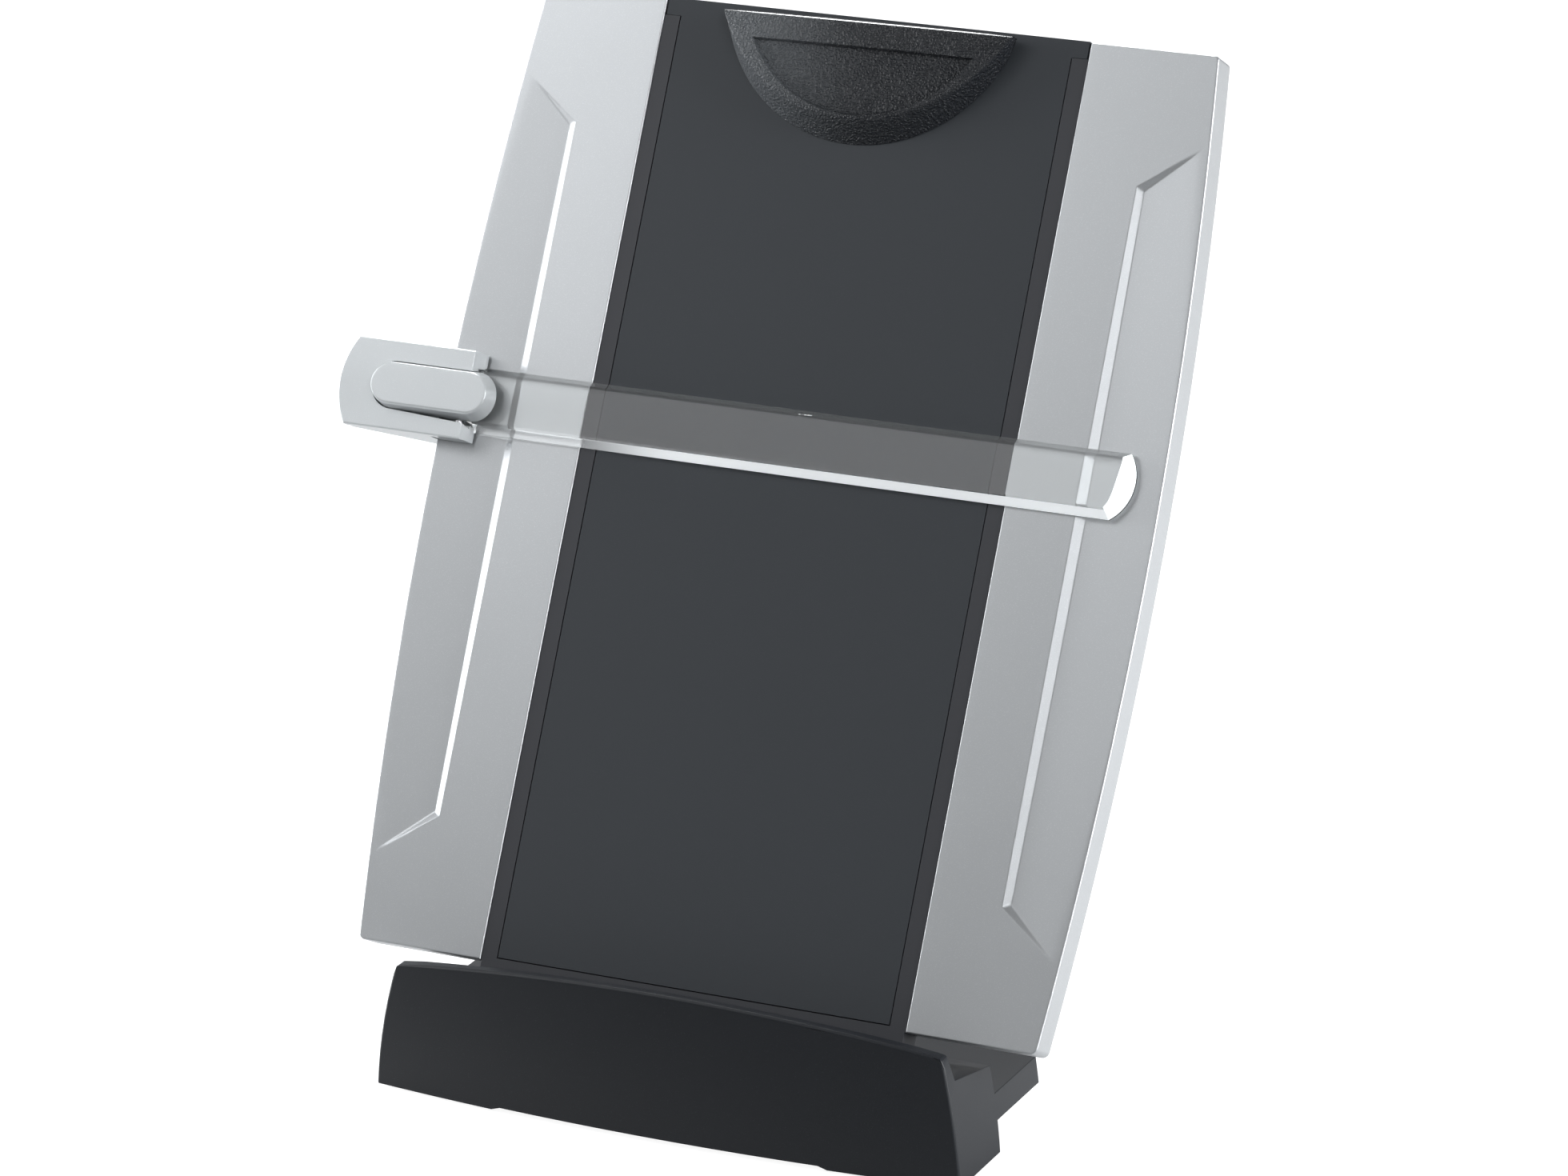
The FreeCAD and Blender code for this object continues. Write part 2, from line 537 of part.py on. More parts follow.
def notch(z0, z1):
    """U-shaped opening for the pill; its lower side flares to the prongs."""
    r = NOTCH_HALF
    x0, x1 = PILL_LEFT + PILL_HALF - 0.4, GRIP_END + 5
    y0, y1 = GRIP_Y - r, GRIP_Y + r
    wire = Part.Wire([seg((x1, y1, z0), (x0, y1, z0)), arc((x0, y1, z0), (x0 - r, GRIP_Y, z0), (x0, y0, z0)),
                      seg((x0, y0, z0), (x1, y0 - NOTCH_OPEN, z0)), seg((x1, y0 - NOTCH_OPEN, z0), (x1, y1, z0))])
    return prism(wire, (0, 0, z1 - z0))


GRIP_SCREW_X = GRIP_LEFT + 17.7
GRIP_SCREWS = [(GRIP_SCREW_X, GRIP_Y - 10.8), (GRIP_SCREW_X, GRIP_Y + 10.8)]
PRONG_BACK = HINGE_X - 6.6


def holder_front():
    body = prism(grip_outline(0.0, PLATE_BACK), (0, 0, PLATE_T))
    body = body.makeChamfer(EDGE_BREAK, flat_edges(body, GRIP_TOP))
    for side in (-1, 1):
        y_out, y_in = GRIP_Y + side * GRIP_H / 2, GRIP_Y + side * (GRIP_H / 2 - PRONG)
        body = body.fuse(block(PRONG_BACK, GRIP_END, min(y_in, y_out), max(y_in, y_out), PRONG_LIFT, PLATE_BACK + 0.2))
    body = body.cut(notch(PLATE_BACK - 1, GRIP_TOP + 1))
    y0, y1 = GRIP_Y - GRIP_H, GRIP_Y + GRIP_H
    slope = prism(line((GRIP_END - PRONG_SLOPE, y0, GRIP_TOP), (GRIP_END, y0, PRONG_LIFT + 1.5),
                       (GRIP_END + 1, y0, PRONG_LIFT + 1.5), (GRIP_END + 1, y0, GRIP_TOP + 1),
                       (GRIP_END - PRONG_SLOPE, y0, GRIP_TOP + 1)), (0, y1 - y0, 0))
    body = body.cut(slope)
    bore = rod(PIN_R, GRIP_H - 2.0, (HINGE_X, GRIP_Y - GRIP_H / 2 + 1.0, HINGE_Z), (0, 1, 0))
    pilots = [stud(SCREW_R, PLATE_T - 1.2, (x, y, PLATE_BACK - 0.01), sides=6) for x, y in GRIP_SCREWS]
    return body.cut(bore).cut(Part.makeCompound(pilots)).removeSplitter()


def wedge_low(x):
    """Lower line of the clamp's wedge body."""
    x0, z0 = GRIP_LEFT + 1.1, PLATE_BACK - TIP_T
    x1, z1 = -HALF_W - 4.5, -BOARD_T - CLAMP_GAP - CLAMP_T
    return z0 + (x - x0) * (z1 - z0) / (x1 - x0)


def holder_back():
    z_top, z_bot = PLATE_BACK, -BOARD_T - CLAMP_GAP - CLAMP_T
    x_wall = -HALF_W - EDGE_GAP
    y0 = GRIP_Y - GRIP_H / 2
    hook = line((GRIP_LEFT, y0, z_top), (GRIP_LEFT, y0, z_top - TIP_T), (-HALF_W - 4.5, y0, z_bot),
                (CLAMP_IN, y0, z_bot), (CLAMP_IN, y0, z_bot + CLAMP_T), (x_wall, y0, z_bot + CLAMP_T),
                (x_wall, y0, z_top))
    body = prism(hook, (0, GRIP_H, 0))
    limit = Part.Face(grip_outline(0.15, z_bot - 1)).extrude(V(0, 0, 40))
    limit = limit.fuse(block(GRIP_END - 1, CLAMP_IN + 1, y0 + 0.15, y0 + GRIP_H - 0.15, z_bot - 1, z_top))
    body = body.common(limit)
    corner = vertical_edges(body, lambda c: c.x > CLAMP_IN - 1)
    body = body.makeFillet(4.0, corner)
    # room for the pill's tail when it is pressed
    body = body.cut(notch(HINGE_Z - 3.2, z_top + 1))
    for x, y in GRIP_SCREWS:
        seat = wedge_low(x) + HEAD_SEAT
        body = body.cut(stud(HEAD_R + JOINT_GAP, 20, (x, y, seat), -1))
        body = body.cut(stud(SCREW_R + JOINT_GAP, 20, (x, y, seat - 1), sides=6))
    for y in RUNNER_SCREWS:
        s = screw(JOINT_GAP, 10)
        s.translate(V(RAIL_X, y, z_bot))
        body = body.cut(s)
    return body


RUNNER_SCREWS = (GRIP_Y - RUNNER_L / 2 + 5.0, GRIP_Y + RUNNER_L / 2 - 5.0)
HEAD_TOP = RAIL_SEAT - RAIL_WALL - 0.7      # runner's head under the spring
HEAD_SEAT = 2.0         # screw heads sit this deep in the wedge


def clamp_screws():
    """Two screws into the front plate and two into the runner."""
    out = []
    for x, y in GRIP_SCREWS:
        z = wedge_low(x) + HEAD_SEAT
        s = stud(HEAD_R, 1.5, (x, y, z - 1.5))
        out.append(s.fuse(stud(SCREW_R, PLATE_BACK + 1.6 - z, (x, y, z), sides=6)))
    z_bot = -BOARD_T - CLAMP_GAP - CLAMP_T
    for y in RUNNER_SCREWS:
        s = screw(0.0, HEAD_TOP - z_bot - 0.5)
        s.translate(V(RAIL_X, y, z_bot))
        out.append(s)
    return Part.makeCompound(out)


def runner():
    """T-shaped slide: its head runs in the channel, its stem meets the clamp."""
    y0, y1 = GRIP_Y - RUNNER_L / 2, GRIP_Y + RUNNER_L / 2
    head_half = RAIL_W / 2 - RAIL_WALL - RUN_GAP
    stem_half = RAIL_SLOT / 2 - RUN_GAP
    lip = COVER_IN + RAIL_WALL + RUN_GAP
    body = block(RAIL_X - head_half, RAIL_X + head_half, y0, y1, lip, HEAD_TOP)
    body = body.fuse(block(RAIL_X - stem_half, RAIL_X + stem_half, y0, y1, -BOARD_T - CLAMP_GAP, lip + 0.1))
    pilots = [stud(SCREW_R, 10, (RAIL_X, y, HEAD_TOP - 0.5 - 10), sides=6) for y in RUNNER_SCREWS]
    return body.cut(Part.makeCompound(pilots)).removeSplitter()


def brake_spring():
    """Bowed leaf that presses the runner against the channel's lips."""
    t, half, rise = 0.25, RUNNER_L / 2 - 1.5, 0.7 - 0.25 - 0.05
    z = HEAD_TOP
    low = arc((0, -half, z), (0, 0, z + rise), (0, half, z))
    top = arc((0, half, z + t), (0, 0, z + rise + t), (0, -half, z + t))
    wire = Part.Wire([low, seg((0, half, z), (0, half, z + t)), top, seg((0, -half, z + t), (0, -half, z))])
    s = prism(wire, (5.0, 0, 0))
    s.translate(V(RAIL_X - 2.5, GRIP_Y, 0))
    return s


def pivot_pin():
    return rod(PIN_R, GRIP_H - 2.0, (HINGE_X, GRIP_Y - GRIP_H / 2 + 1.0, HINGE_Z), (0, 1, 0))


HUB_GAP = 3.2           # half of the space for the lever's spring
BAR_FRONT = BAR_BACK + BAR_T
BAR_START = HINGE_X + HUB_R + 0.3
BAR_RUN = 0.4           # ruler's tab in the notch


def lever_spring():
    return sleeve(1.8, 0.3, 3.6, (HINGE_X, GRIP_Y - 1.8, HINGE_Z), (0, 1, 0))


def press_lever():
    """Pill-shaped thumb piece with its hub on the pin."""
    z0 = BAR_FRONT
    body = Part.makeLoft([pill_outline(pill_grow(z0), z0), pill_outline(0, PILL_TOP)], True, True)
    body = body.makeChamfer(EDGE_BREAK, flat_edges(body, PILL_TOP))
    body = body.cut(block(PILL_LEFT - 9, BAR_START - 0.1, GRIP_Y - 12, GRIP_Y + 12, z0 - 1, z0 + 0.3))
    hub_half = PILL_HALF + pill_grow(z0) - 0.3
    for side in (-1, 1):
        y0 = GRIP_Y + side * HUB_GAP
        hub = rod(HUB_R, hub_half - HUB_GAP, (HINGE_X, y0, HINGE_Z), (0, side, 0))
        body = body.fuse(hub)
    body = body.cut(rod(HUB_R + 0.2, 2 * HUB_GAP, (HINGE_X, GRIP_Y - HUB_GAP, HINGE_Z), (0, 1, 0)))
    return body.cut(rod(PIN_R + PIN_RUN, GRIP_H, (HINGE_X, GRIP_Y - GRIP_H / 2, HINGE_Z), (0, 1, 0))).removeSplitter()


def bar_outline(low, top, end, z):
    """Ruler from the front, with insets of its lower, upper and free edges."""
    y0, y1 = BAR_LOW + low, BAR_TOP - top
    r = BAR_END_R - end
    cx, cy = BAR_END - BAR_END_R, GRIP_Y + 1.2
    x1 = cx + sqrt(r * r - (y1 - cy) ** 2)
    x0 = cx + sqrt(r * r - (y0 - cy) ** 2)
    left = GRIP_END + 0.4
    return Part.Wire([seg((left, y0, z), (x0, y0, z)), arc((x0, y0, z), (cx + r, cy, z), (x1, y1, z)),
                      seg((x1, y1, z), (left, y1, z)), seg((left, y1, z), (left, y0, z))])


def line_bar():
    """Clear ruler with a bevel along its edges and a rounded free end."""
    edge = BAR_BACK + BAR_EDGE
    back = prism(bar_outline(0, 0, 0, BAR_BACK), (0, 0, BAR_EDGE))
    front = Part.makeLoft([bar_outline(0, 0, 0, edge), bar_outline(BEVEL_LOW, BEVEL_TOP, BEVEL_END, BAR_FRONT)], True, True)
    body = back.fuse(front)
    tab_half = NOTCH_HALF - BAR_RUN
    body = body.fuse(block(BAR_START, GRIP_END + 3, GRIP_Y - tab_half, GRIP_Y + tab_half, BAR_BACK, BAR_FRONT))
    return body.removeSplitter()


# ================================================================ base
def front_revolve(inset, z0, z1):
    """Body behind the bowed, bellied front face."""
    axis_y = FRONT_Y + FRONT_R
    zb, zt = UNDERSIDE, BOARD_LINE + LIP_TOP
    slope = FRONT_DRAFT / (zt - zb)
    yb, yt = FRONT_Y + inset, FRONT_Y + inset + FRONT_DRAFT
    mid = ((yb + yt) / 2 - FRONT_BULGE - 0.4, (zb + zt) / 2)
    face = arc((0, yb, zb), (0, mid[0], mid[1]), (0, yt, zt))
    ext = seg((0, yt, zt), (0, yt + slope * 10, zt + 10))
    wire = Part.Wire([face, ext, seg((0, yt + slope * 10, zt + 10), (0, FAR, zt + 10)),
                      seg((0, FAR, zt + 10), (0, FAR, zb)), seg((0, FAR, zb), (0, yb, zb))])
    solid = Part.Face(wire).revolve(V(0, axis_y, 0), V(0, 0, 1), 20)
    solid.rotate(V(0, axis_y, 0), V(0, 0, 1), -10)
    return solid.common(block(-FAR, FAR, -FAR, FAR, z0, z1))


def end_prism(inset, y0, y1, z0, z1):
    """Bellied end faces and the arched top line, as a body along Y."""
    zb, zt = UNDERSIDE, BOARD_LINE + LIP_TOP - LIP_ARCH
    low, top = END_LOW - inset, END_TOP - inset
    mid = ((low + top) / 2 + END_BULGE, (zb + zt) / 2)
    peak = BOARD_LINE + LIP_TOP
    wire = Part.Wire([seg((-low, y0, zb), (low, y0, zb)), arc((low, y0, zb), (mid[0], y0, mid[1]), (top, y0, zt)),
                      arc((top, y0, zt), (0, y0, peak), (-top, y0, zt)),
                      arc((-top, y0, zt), (-mid[0], y0, mid[1]), (-low, y0, zb))])
    body = prism(wire, (0, y1 - y0, 0))
    return body.common(block(-FAR, FAR, y0, y1, z0, z1))


def over_floor(drop):
    """Everything above the sloping trough floor, lowered by drop."""
    slope = (TROUGH_REAR - TROUGH_FRONT) / (BLOCK_REAR - (FRONT_Y + FRONT_DRAFT + LIP_T))
    y0, y1 = FRONT_Y - 10, BLOCK_REAR + 40
    z_at = lambda y: BOARD_LINE + TROUGH_FRONT + slope * (y - (FRONT_Y + FRONT_DRAFT + LIP_T)) - drop
    return prism(line((-FAR, y0, z_at(y0)), (-FAR, y1, z_at(y1)), (-FAR, y1, FAR), (-FAR, y0, FAR)), (2 * FAR, 0, 0))


def tail(inset, z0):
    """Low foot that reaches back under the board."""
    y0, y1 = BLOCK_REAR - 4.0, TAIL_REAR - inset
    h0, h1 = TAIL_HALF - inset, TAIL_HALF - TAIL_TAPER - inset
    plan = prism(line((-h0, y0, z0), (h0, y0, z0), (h0, LEDGE_REAR, z0), (h1, y1, z0), (-h1, y1, z0),
                      (-h0, LEDGE_REAR, z0)), (0, 0, 30))
    plan = plan.makeFillet(TAIL_ROUND - inset, vertical_edges(plan, lambda c: c.y > TAIL_REAR - 10))
    side = prism(line((-FAR, y0, z0), (-FAR, y1, z0), (-FAR, y1, UNDERSIDE + TAIL_LOW - inset),
                      (-FAR, LEDGE_REAR, LEDGE_TOP - inset), (-FAR, y0, LEDGE_TOP - inset)), (2 * FAR, 0, 0))
    return plan.common(side)


def socket(grow, low_grow):
    """Slot that holds the tongue, in the world frame."""
    half = TONGUE_HALF + SOCKET_GAP + grow
    return on_board(block(-half, half, -TONGUE_L - SOCKET_GAP - low_grow, 30,
                          -BOARD_T - SOCKET_GAP - grow, SOCKET_GAP + grow))


BASE_RIB_T, BASE_BOSS_R = 1.8, 4.0
BASE_RIBS = spread(13.4 - END_LOW, END_LOW - 13.4, 42.0)
TAIL_RIBS = (-30.0, 30.0)
BASE_BOSSES = ((9.0 - END_LOW, 6.0), (END_LOW - 9.0, 6.0), (0.0, TAIL_REAR - 38.0))
COVER_Z = UNDERSIDE + BASE_COVER_T


def base_outer():
    front = front_revolve(0.0, UNDERSIDE, FAR).common(end_prism(0.0, -FAR, BLOCK_REAR, UNDERSIDE, FAR))
    wall = Part.Face(Part.Wire(Part.makeCircle(FRONT_R - FRONT_DRAFT - LIP_T, V(0, FRONT_Y + FRONT_R, 0), V(0, 0, 1))))
    room = wall.extrude(V(0, 0, FAR)).common(block(-FAR, FAR, -FAR, LEDGE_REAR, 0, FAR)).common(over_floor(0.0))
    front = front.cut(room)
    near = FRONT_R - FRONT_DRAFT - LIP_T / 2
    rim = [e for e in front.Edges if e.CenterOfMass.z > UNDERSIDE + 1
           and all(sqrt(v.X ** 2 + (FRONT_Y + FRONT_R - v.Y) ** 2) > near for v in e.Vertexes)]
    front = front.makeChamfer(LIP_BREAK, rim)
    ledge = end_prism(0.0, BLOCK_REAR - 1, LEDGE_REAR, LEDGE_TOP - LEDGE_T, LEDGE_TOP)
    return front, ledge, tail(0.0, UNDERSIDE)


def base_shell():
    front, ledge, foot = base_outer()
    body = front.multiFuse([ledge, foot]).removeSplitter()
    w = BASE_WALL
    # cavities, open downward
    roof = over_floor(w)
    cave = front_revolve(w, 0, FAR).common(end_prism(w, -FAR, BLOCK_REAR - w, UNDERSIDE, FAR)).cut(roof)
    cave = cave.cut(socket(w - 0.4, w))
    half = BASE_RIB_T / 2
    ribs = [block(x - half, x + half, -FAR, BLOCK_REAR, COVER_Z + 6, FAR) for x in BASE_RIBS]
    bosses = [stud(BASE_BOSS_R, FAR, (x, y, COVER_Z)) for x, y in BASE_BOSSES]
    tail_cave = tail(w, 0).cut(block(-FAR, FAR, -FAR, BLOCK_REAR, 0, FAR))
    tail_ribs = [block(x - half, x + half, BLOCK_REAR, TAIL_REAR, COVER_Z + 0.2, FAR) for x in TAIL_RIBS]
    keep = ribs[0].multiFuse(ribs[1:] + bosses + tail_ribs)
    cuts = [cave.cut(keep), tail_cave.cut(keep)]
    for side in (-1, 1):
        x0, x1 = sorted((side * (TAIL_HALF + w), side * (END_LOW - 2 * w)))
        cuts.append(block(x0, x1, BLOCK_REAR + w, LEDGE_REAR - w, LEDGE_TOP - LEDGE_T - 1, LEDGE_TOP - w))
    # seat of the bottom cover
    cuts.append(block(-TAIL_HALF + w, TAIL_HALF - w, BLOCK_REAR - w - 1, BLOCK_REAR + 1, 0, COVER_Z + FIT_GAP))
    cuts.append(rib_seat())
    cuts.append(socket(0.0, 0.0))
    cuts.append(skirt_relief())
    cuts += [stud(PILOT_R, BASE_SCREW_L, (x, y, COVER_Z - 0.5), sides=6) for x, y in BASE_BOSSES]
    return body.cut(cuts[0].multiFuse(cuts[1:])).removeSplitter()


def rib_seat():
    """Space of the bottom cover inside the base's walls."""
    return cover_body(BASE_WALL, UNDERSIDE - 1, COVER_Z)


def cover_body(inset, z0, z1):
    front = front_revolve(inset, z0, z1).common(end_prism(inset, -FAR, BLOCK_REAR - inset, UNDERSIDE, FAR))
    low = front.common(block(-FAR, FAR, -FAR, FAR, z0, z1))
    back = tail(inset, z0).cut(block(-FAR, FAR, -FAR, BLOCK_REAR - inset - 0.5, 0, FAR))
    back = back.common(block(-FAR, FAR, 0, FAR, z0, z1))
    return low.fuse(back)


def skirt_relief():
    """The front skirt clears the desk between its two ends."""
    z0, z1, r = UNDERSIDE - 1, UNDERSIDE + SKIRT_RELIEF, RELIEF_HALF
    return prism(line((-r - 3, -FAR, z0), (r + 3, -FAR, z0), (r + 3, -FAR, UNDERSIDE), (r, -FAR, z1), (-r, -FAR, z1),
                      (-r - 3, -FAR, UNDERSIDE)), (0, FAR + FRONT_Y + BASE_WALL + 1.6, 0))


FOOT_STRIP = (140.0, 9.0)
FOOT_R = 7.0
FOOT_SEAT = 1.0
REAR_FEET = ((-33.0, 98.0), (33.0, 98.0))


def base_cover():
    body = cover_body(BASE_WALL + FIT_GAP, UNDERSIDE, COVER_Z)
    l, w = FOOT_STRIP
    seats = [block(-l / 2 - 0.1, l / 2 + 0.1, -w / 2 - 0.1, w / 2 + 0.1, UNDERSIDE - 1, UNDERSIDE + FOOT_SEAT)]
    seats += [rod(FOOT_R + 0.1, FOOT_SEAT + 1, (x, y, UNDERSIDE - 1), (0, 0, 1)) for x, y in REAR_FEET]
    for x, y in BASE_BOSSES:
        s = screw(JOINT_GAP, BASE_SCREW_L)
        s.translate(V(x, y, UNDERSIDE))
        seats.append(s)
    return body.cut(seats[0].multiFuse(seats[1:])).removeSplitter()


def base_screws():
    out = []
    for x, y in BASE_BOSSES:
        s = screw(0.0, BASE_SCREW_L)
        s.translate(V(x, y, UNDERSIDE))
        out.append(s)
    return Part.makeCompound(out)


def front_foot():
    l, w = FOOT_STRIP
    s = block(-l / 2, l / 2, -w / 2, w / 2, 0, UNDERSIDE + FOOT_SEAT)
    return s.makeChamfer(0.4, flat_edges(s, 0))


def rear_feet():
    out = []
    for x, y in REAR_FEET:
        out.append(rod(FOOT_R, UNDERSIDE + FOOT_SEAT, (x, y, 0), (0, 0, 1)))
    return Part.makeCompound(out)


# ================================================================ build
WORLD_PARTS = {"base_shell": base_shell, "base_cover": base_cover, "base_screws": base_screws,
               "front_foot": front_foot, "rear_feet": rear_feet}
BOARD_PARTS = {"centre_frame": centre_frame, "panel_insert": panel_insert,
               "left_wing": lambda: wing(-1), "right_wing": lambda: wing(1),
               "rear_cover": rear_cover, "cover_screws": cover_screws, "guide_channel": guide_channel,
               "clip_jaw": clip_jaw, "clip_pin": clip_pin, "clip_spring": clip_spring,
               "holder_front": holder_front, "holder_back": holder_back, "clamp_screws": clamp_screws,
               "runner": runner, "brake_spring": brake_spring, "pivot_pin": pivot_pin,
               "lever_spring": lever_spring, "press_lever": press_lever, "line_bar": line_bar}


def main():
    os.makedirs("parts", exist_ok=True)
    for name, make in WORLD_PARTS.items():
        save(name, make())
    for name, make in BOARD_PARTS.items():
        save(name, on_board(make()))


def save(name, shape):
    shape.exportStep("parts/%s.step" % name)
    b = shape.BoundBox
    print("%-14s solids %d valid %s vol %9.1f  box %s" % (
        name, len(shape.Solids), shape.isValid(), shape.Volume,
        " ".join("%.1f" % q for q in (b.XMin, b.XMax, b.YMin, b.YMax, b.ZMin, b.ZMax))))


main()
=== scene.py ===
# %% [markdown]
# # Dressing a copy holder with a line guide
# The solids of this holder come from a CAD model.  This lesson gives them the
# looks of the real thing: silver moulded wings, a black grained base, a fine
# matt panel, a sprung memo clip and a clear ruler.  Lengths are in metres, and
# the whole lesson shares the CAD model's frame: X across, Y to the rear, Z up.

# %% Load the frame
import bpy
import bmesh
import numpy as np
from math import radians, cos, sin, tan, sqrt, pi
from mathutils import Matrix, Vector


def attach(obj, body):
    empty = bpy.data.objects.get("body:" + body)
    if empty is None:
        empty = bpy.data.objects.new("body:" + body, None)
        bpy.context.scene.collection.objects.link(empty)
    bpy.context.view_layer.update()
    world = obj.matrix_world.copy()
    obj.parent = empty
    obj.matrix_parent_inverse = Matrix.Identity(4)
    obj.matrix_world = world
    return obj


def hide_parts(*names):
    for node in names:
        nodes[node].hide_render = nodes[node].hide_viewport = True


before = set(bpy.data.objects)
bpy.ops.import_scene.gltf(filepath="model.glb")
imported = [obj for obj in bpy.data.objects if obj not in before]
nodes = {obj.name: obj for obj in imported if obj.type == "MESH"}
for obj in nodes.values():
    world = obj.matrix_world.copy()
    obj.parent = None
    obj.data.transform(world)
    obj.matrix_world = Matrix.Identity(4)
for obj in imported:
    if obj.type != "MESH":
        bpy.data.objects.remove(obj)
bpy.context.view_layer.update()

# %% [markdown]
# ## Two frames and a helper
# Nearly everything that shows sits on a board that leans back.  It is far
# easier to think in the board's own frame, s across, v up along the board and
# n out of its face, and to turn the finished arrays into the world in one go.
# The alternative, turning an object, would leave a rotation on it, and a
# pattern that reads object coordinates would then slide.

# %% The board's frame
MM = 0.001
LEAN = radians(26.65)
BOARD_AT = (0.0, 7.0, 39.0)
TILT = pi / 2 - LEAN


def on_board(s, v, n):
    """World point = foot of the board + v along the lean + n out of the face.
    Takes arrays in millimetres and gives one array of points in metres."""
    s, v, n = np.broadcast_arrays(np.asarray(s, float), np.asarray(v, float), np.asarray(n, float))
    y = BOARD_AT[1] + v * cos(TILT) - n * sin(TILT)
    z = BOARD_AT[2] + v * sin(TILT) + n * cos(TILT)
    return np.stack([s, y, z], axis=-1) * MM


def off_board(points):
    """Board frame (s, v, n) in millimetres of world points in metres."""
    p = points / MM
    y, z = p[:, 1] - BOARD_AT[1], p[:, 2] - BOARD_AT[2]
    return np.stack([p[:, 0], y * cos(TILT) + z * sin(TILT), z * cos(TILT) - y * sin(TILT)], -1)


print("top of the board:", on_board(0, 304.7, 0), "and back:", off_board(on_board(0, 304.7, 0)[None]))

# %% [markdown]
# ## The camera
# The real set-up is a long lens from about two metres, a little to the right
# and above.  A long lens keeps the sides of the board nearly parallel.  The
# three directions right, up and back are built from the two viewing angles,
# so there is no tracking constraint that could drift later.

# %% Camera
AZIMUTH, ELEVATION = 0.429885, 0.320993
EYE = Vector((795.035, -1658.942, 782.373)) * MM
FOCAL_PX, IMAGE_W = 8222.95, 1960.0

right = Vector((cos(AZIMUTH), sin(AZIMUTH), 0.0))
back = Vector((sin(AZIMUTH) * cos(ELEVATION), -cos(AZIMUTH) * cos(ELEVATION), sin(ELEVATION)))
up = back.cross(right)

camera_data = bpy.data.cameras.new("studio_camera")
camera_data.sensor_width = 36.0
camera_data.sensor_fit = "HORIZONTAL"
camera_data.lens = FOCAL_PX / IMAGE_W * camera_data.sensor_width
camera_data.clip_start, camera_data.clip_end = 0.05, 30.0
camera = bpy.data.objects.new("studio_camera", camera_data)
camera.matrix_world = Matrix((
    (right.x, up.x, back.x, EYE.x),
    (right.y, up.y, back.y, EYE.y),
    (right.z, up.z, back.z, EYE.z),
    (0, 0, 0, 1)))
bpy.context.collection.objects.link(camera)
bpy.context.scene.camera = camera
bpy.context.scene.view_settings.view_transform = "Standard"
print("lens %.1f mm" % camera_data.lens)

# %% [markdown]
# ## Node helpers
# Shader trees get long when every node is placed and wired by hand.  A few
# helpers keep them readable.  `feed` fills sockets, found by name, or by
# number where one node has several of the same name.  `node` makes a node and
# feeds it; its kind is the type's name after ShaderNode.  The others make a
# sum, a ramp, a noise or a blend of two colours in one line.

# %% Node helpers
def feed(tree, n, inputs):
    """Fills inputs of a node: an output socket is linked, and anything else
    becomes the input's constant."""
    for key, value in inputs.items():
        if isinstance(value, bpy.types.NodeSocket):
            tree.links.new(value, n.inputs[key])
        else:
            n.inputs[key].default_value = value


def node(tree, kind, inputs=None, **settings):
    """A new node; settings are its properties."""
    n = tree.nodes.new("ShaderNode" + kind)
    for key, value in settings.items():
        setattr(n, key, value)
    feed(tree, n, inputs or {})
    return n


def calc(tree, operation, *terms):
    """Result of a Math node; each term is a socket or a number."""
    return node(tree, "Math", dict(enumerate(terms)), operation=operation).outputs[0]


def ramp(tree, value, start, end, low=0.0, high=1.0, kind="SMOOTHSTEP"):
    """Goes from low to high while the value goes from start to end."""
    sockets = {"Value": value, "From Min": start, "From Max": end, "To Min": low, "To Max": high}
    return node(tree, "MapRange", sockets, interpolation_type=kind).outputs[0]


def noise(tree, vector, scale, detail, roughness):
    sockets = {"Vector": vector, "Scale": scale, "Detail": detail, "Roughness": roughness}
    return node(tree, "TexNoise", sockets)


def blend(tree, factor, a, b):
    """Colour between a and b."""
    return node(tree, "Mix", {"Factor": factor, "A": a, "B": b}, data_type="RGBA").outputs["Result"]


def group(name, inputs, outputs):
    """A shader node group with named sockets and its two end nodes.  Every
    group reads a vector and a size in millimetres."""
    tree = bpy.data.node_groups.new(name, "ShaderNodeTree")
    tree.interface.new_socket("Vector", in_out="INPUT", socket_type="NodeSocketVector")
    for label, value in inputs:
        kind = "NodeSocketColor" if isinstance(value, tuple) else "NodeSocketFloat"
        tree.interface.new_socket(label, in_out="INPUT", socket_type=kind).default_value = value
    for label in outputs:
        kind = "NodeSocketColor" if label == "Color" else "NodeSocketFloat"
        tree.interface.new_socket(label, in_out="OUTPUT", socket_type=kind)
    given, result = tree.nodes.new("NodeGroupInput").outputs, tree.nodes.new("NodeGroupOutput")
    return tree, given, result, calc(tree, "DIVIDE", 1 / MM, given["Size mm"])


def place(tree, grouped, inputs):
    """The group as one node of a material, with its own values."""
    return node(tree, "Group", inputs, node_tree=grouped)


# %% [markdown]
# ## Effect one: spark-eroded grain
# Injection moulds for office goods are etched, so the plastic comes out with a
# fine random grain.  Two noises at different sizes give the height, and the
# tops of the coarse one, cut off at a threshold, give the tiny bright flecks
# that catch the light.  It is a group because base, clip, wings and panel all
# use it, each at its own size.

# %% Grain group
grain, given, result, scale = group(
    "moulded_grain", [("Size mm", 0.5), ("Fleck level", 0.62)], ["Height", "Fleck"])
coarse = noise(grain, given["Vector"], scale, 2.0, 0.55).outputs["Fac"]
fine = noise(grain, given["Vector"], calc(grain, "MULTIPLY", scale, 2.7), 1.0, 0.5).outputs["Fac"]
fleck_top = calc(grain, "ADD", given["Fleck level"], 0.09)
feed(grain, result, {"Height": calc(grain, "MULTIPLY_ADD", fine, 0.35, coarse),
                     "Fleck": ramp(grain, coarse, given["Fleck level"], fleck_top)})
print("group:", grain.name)

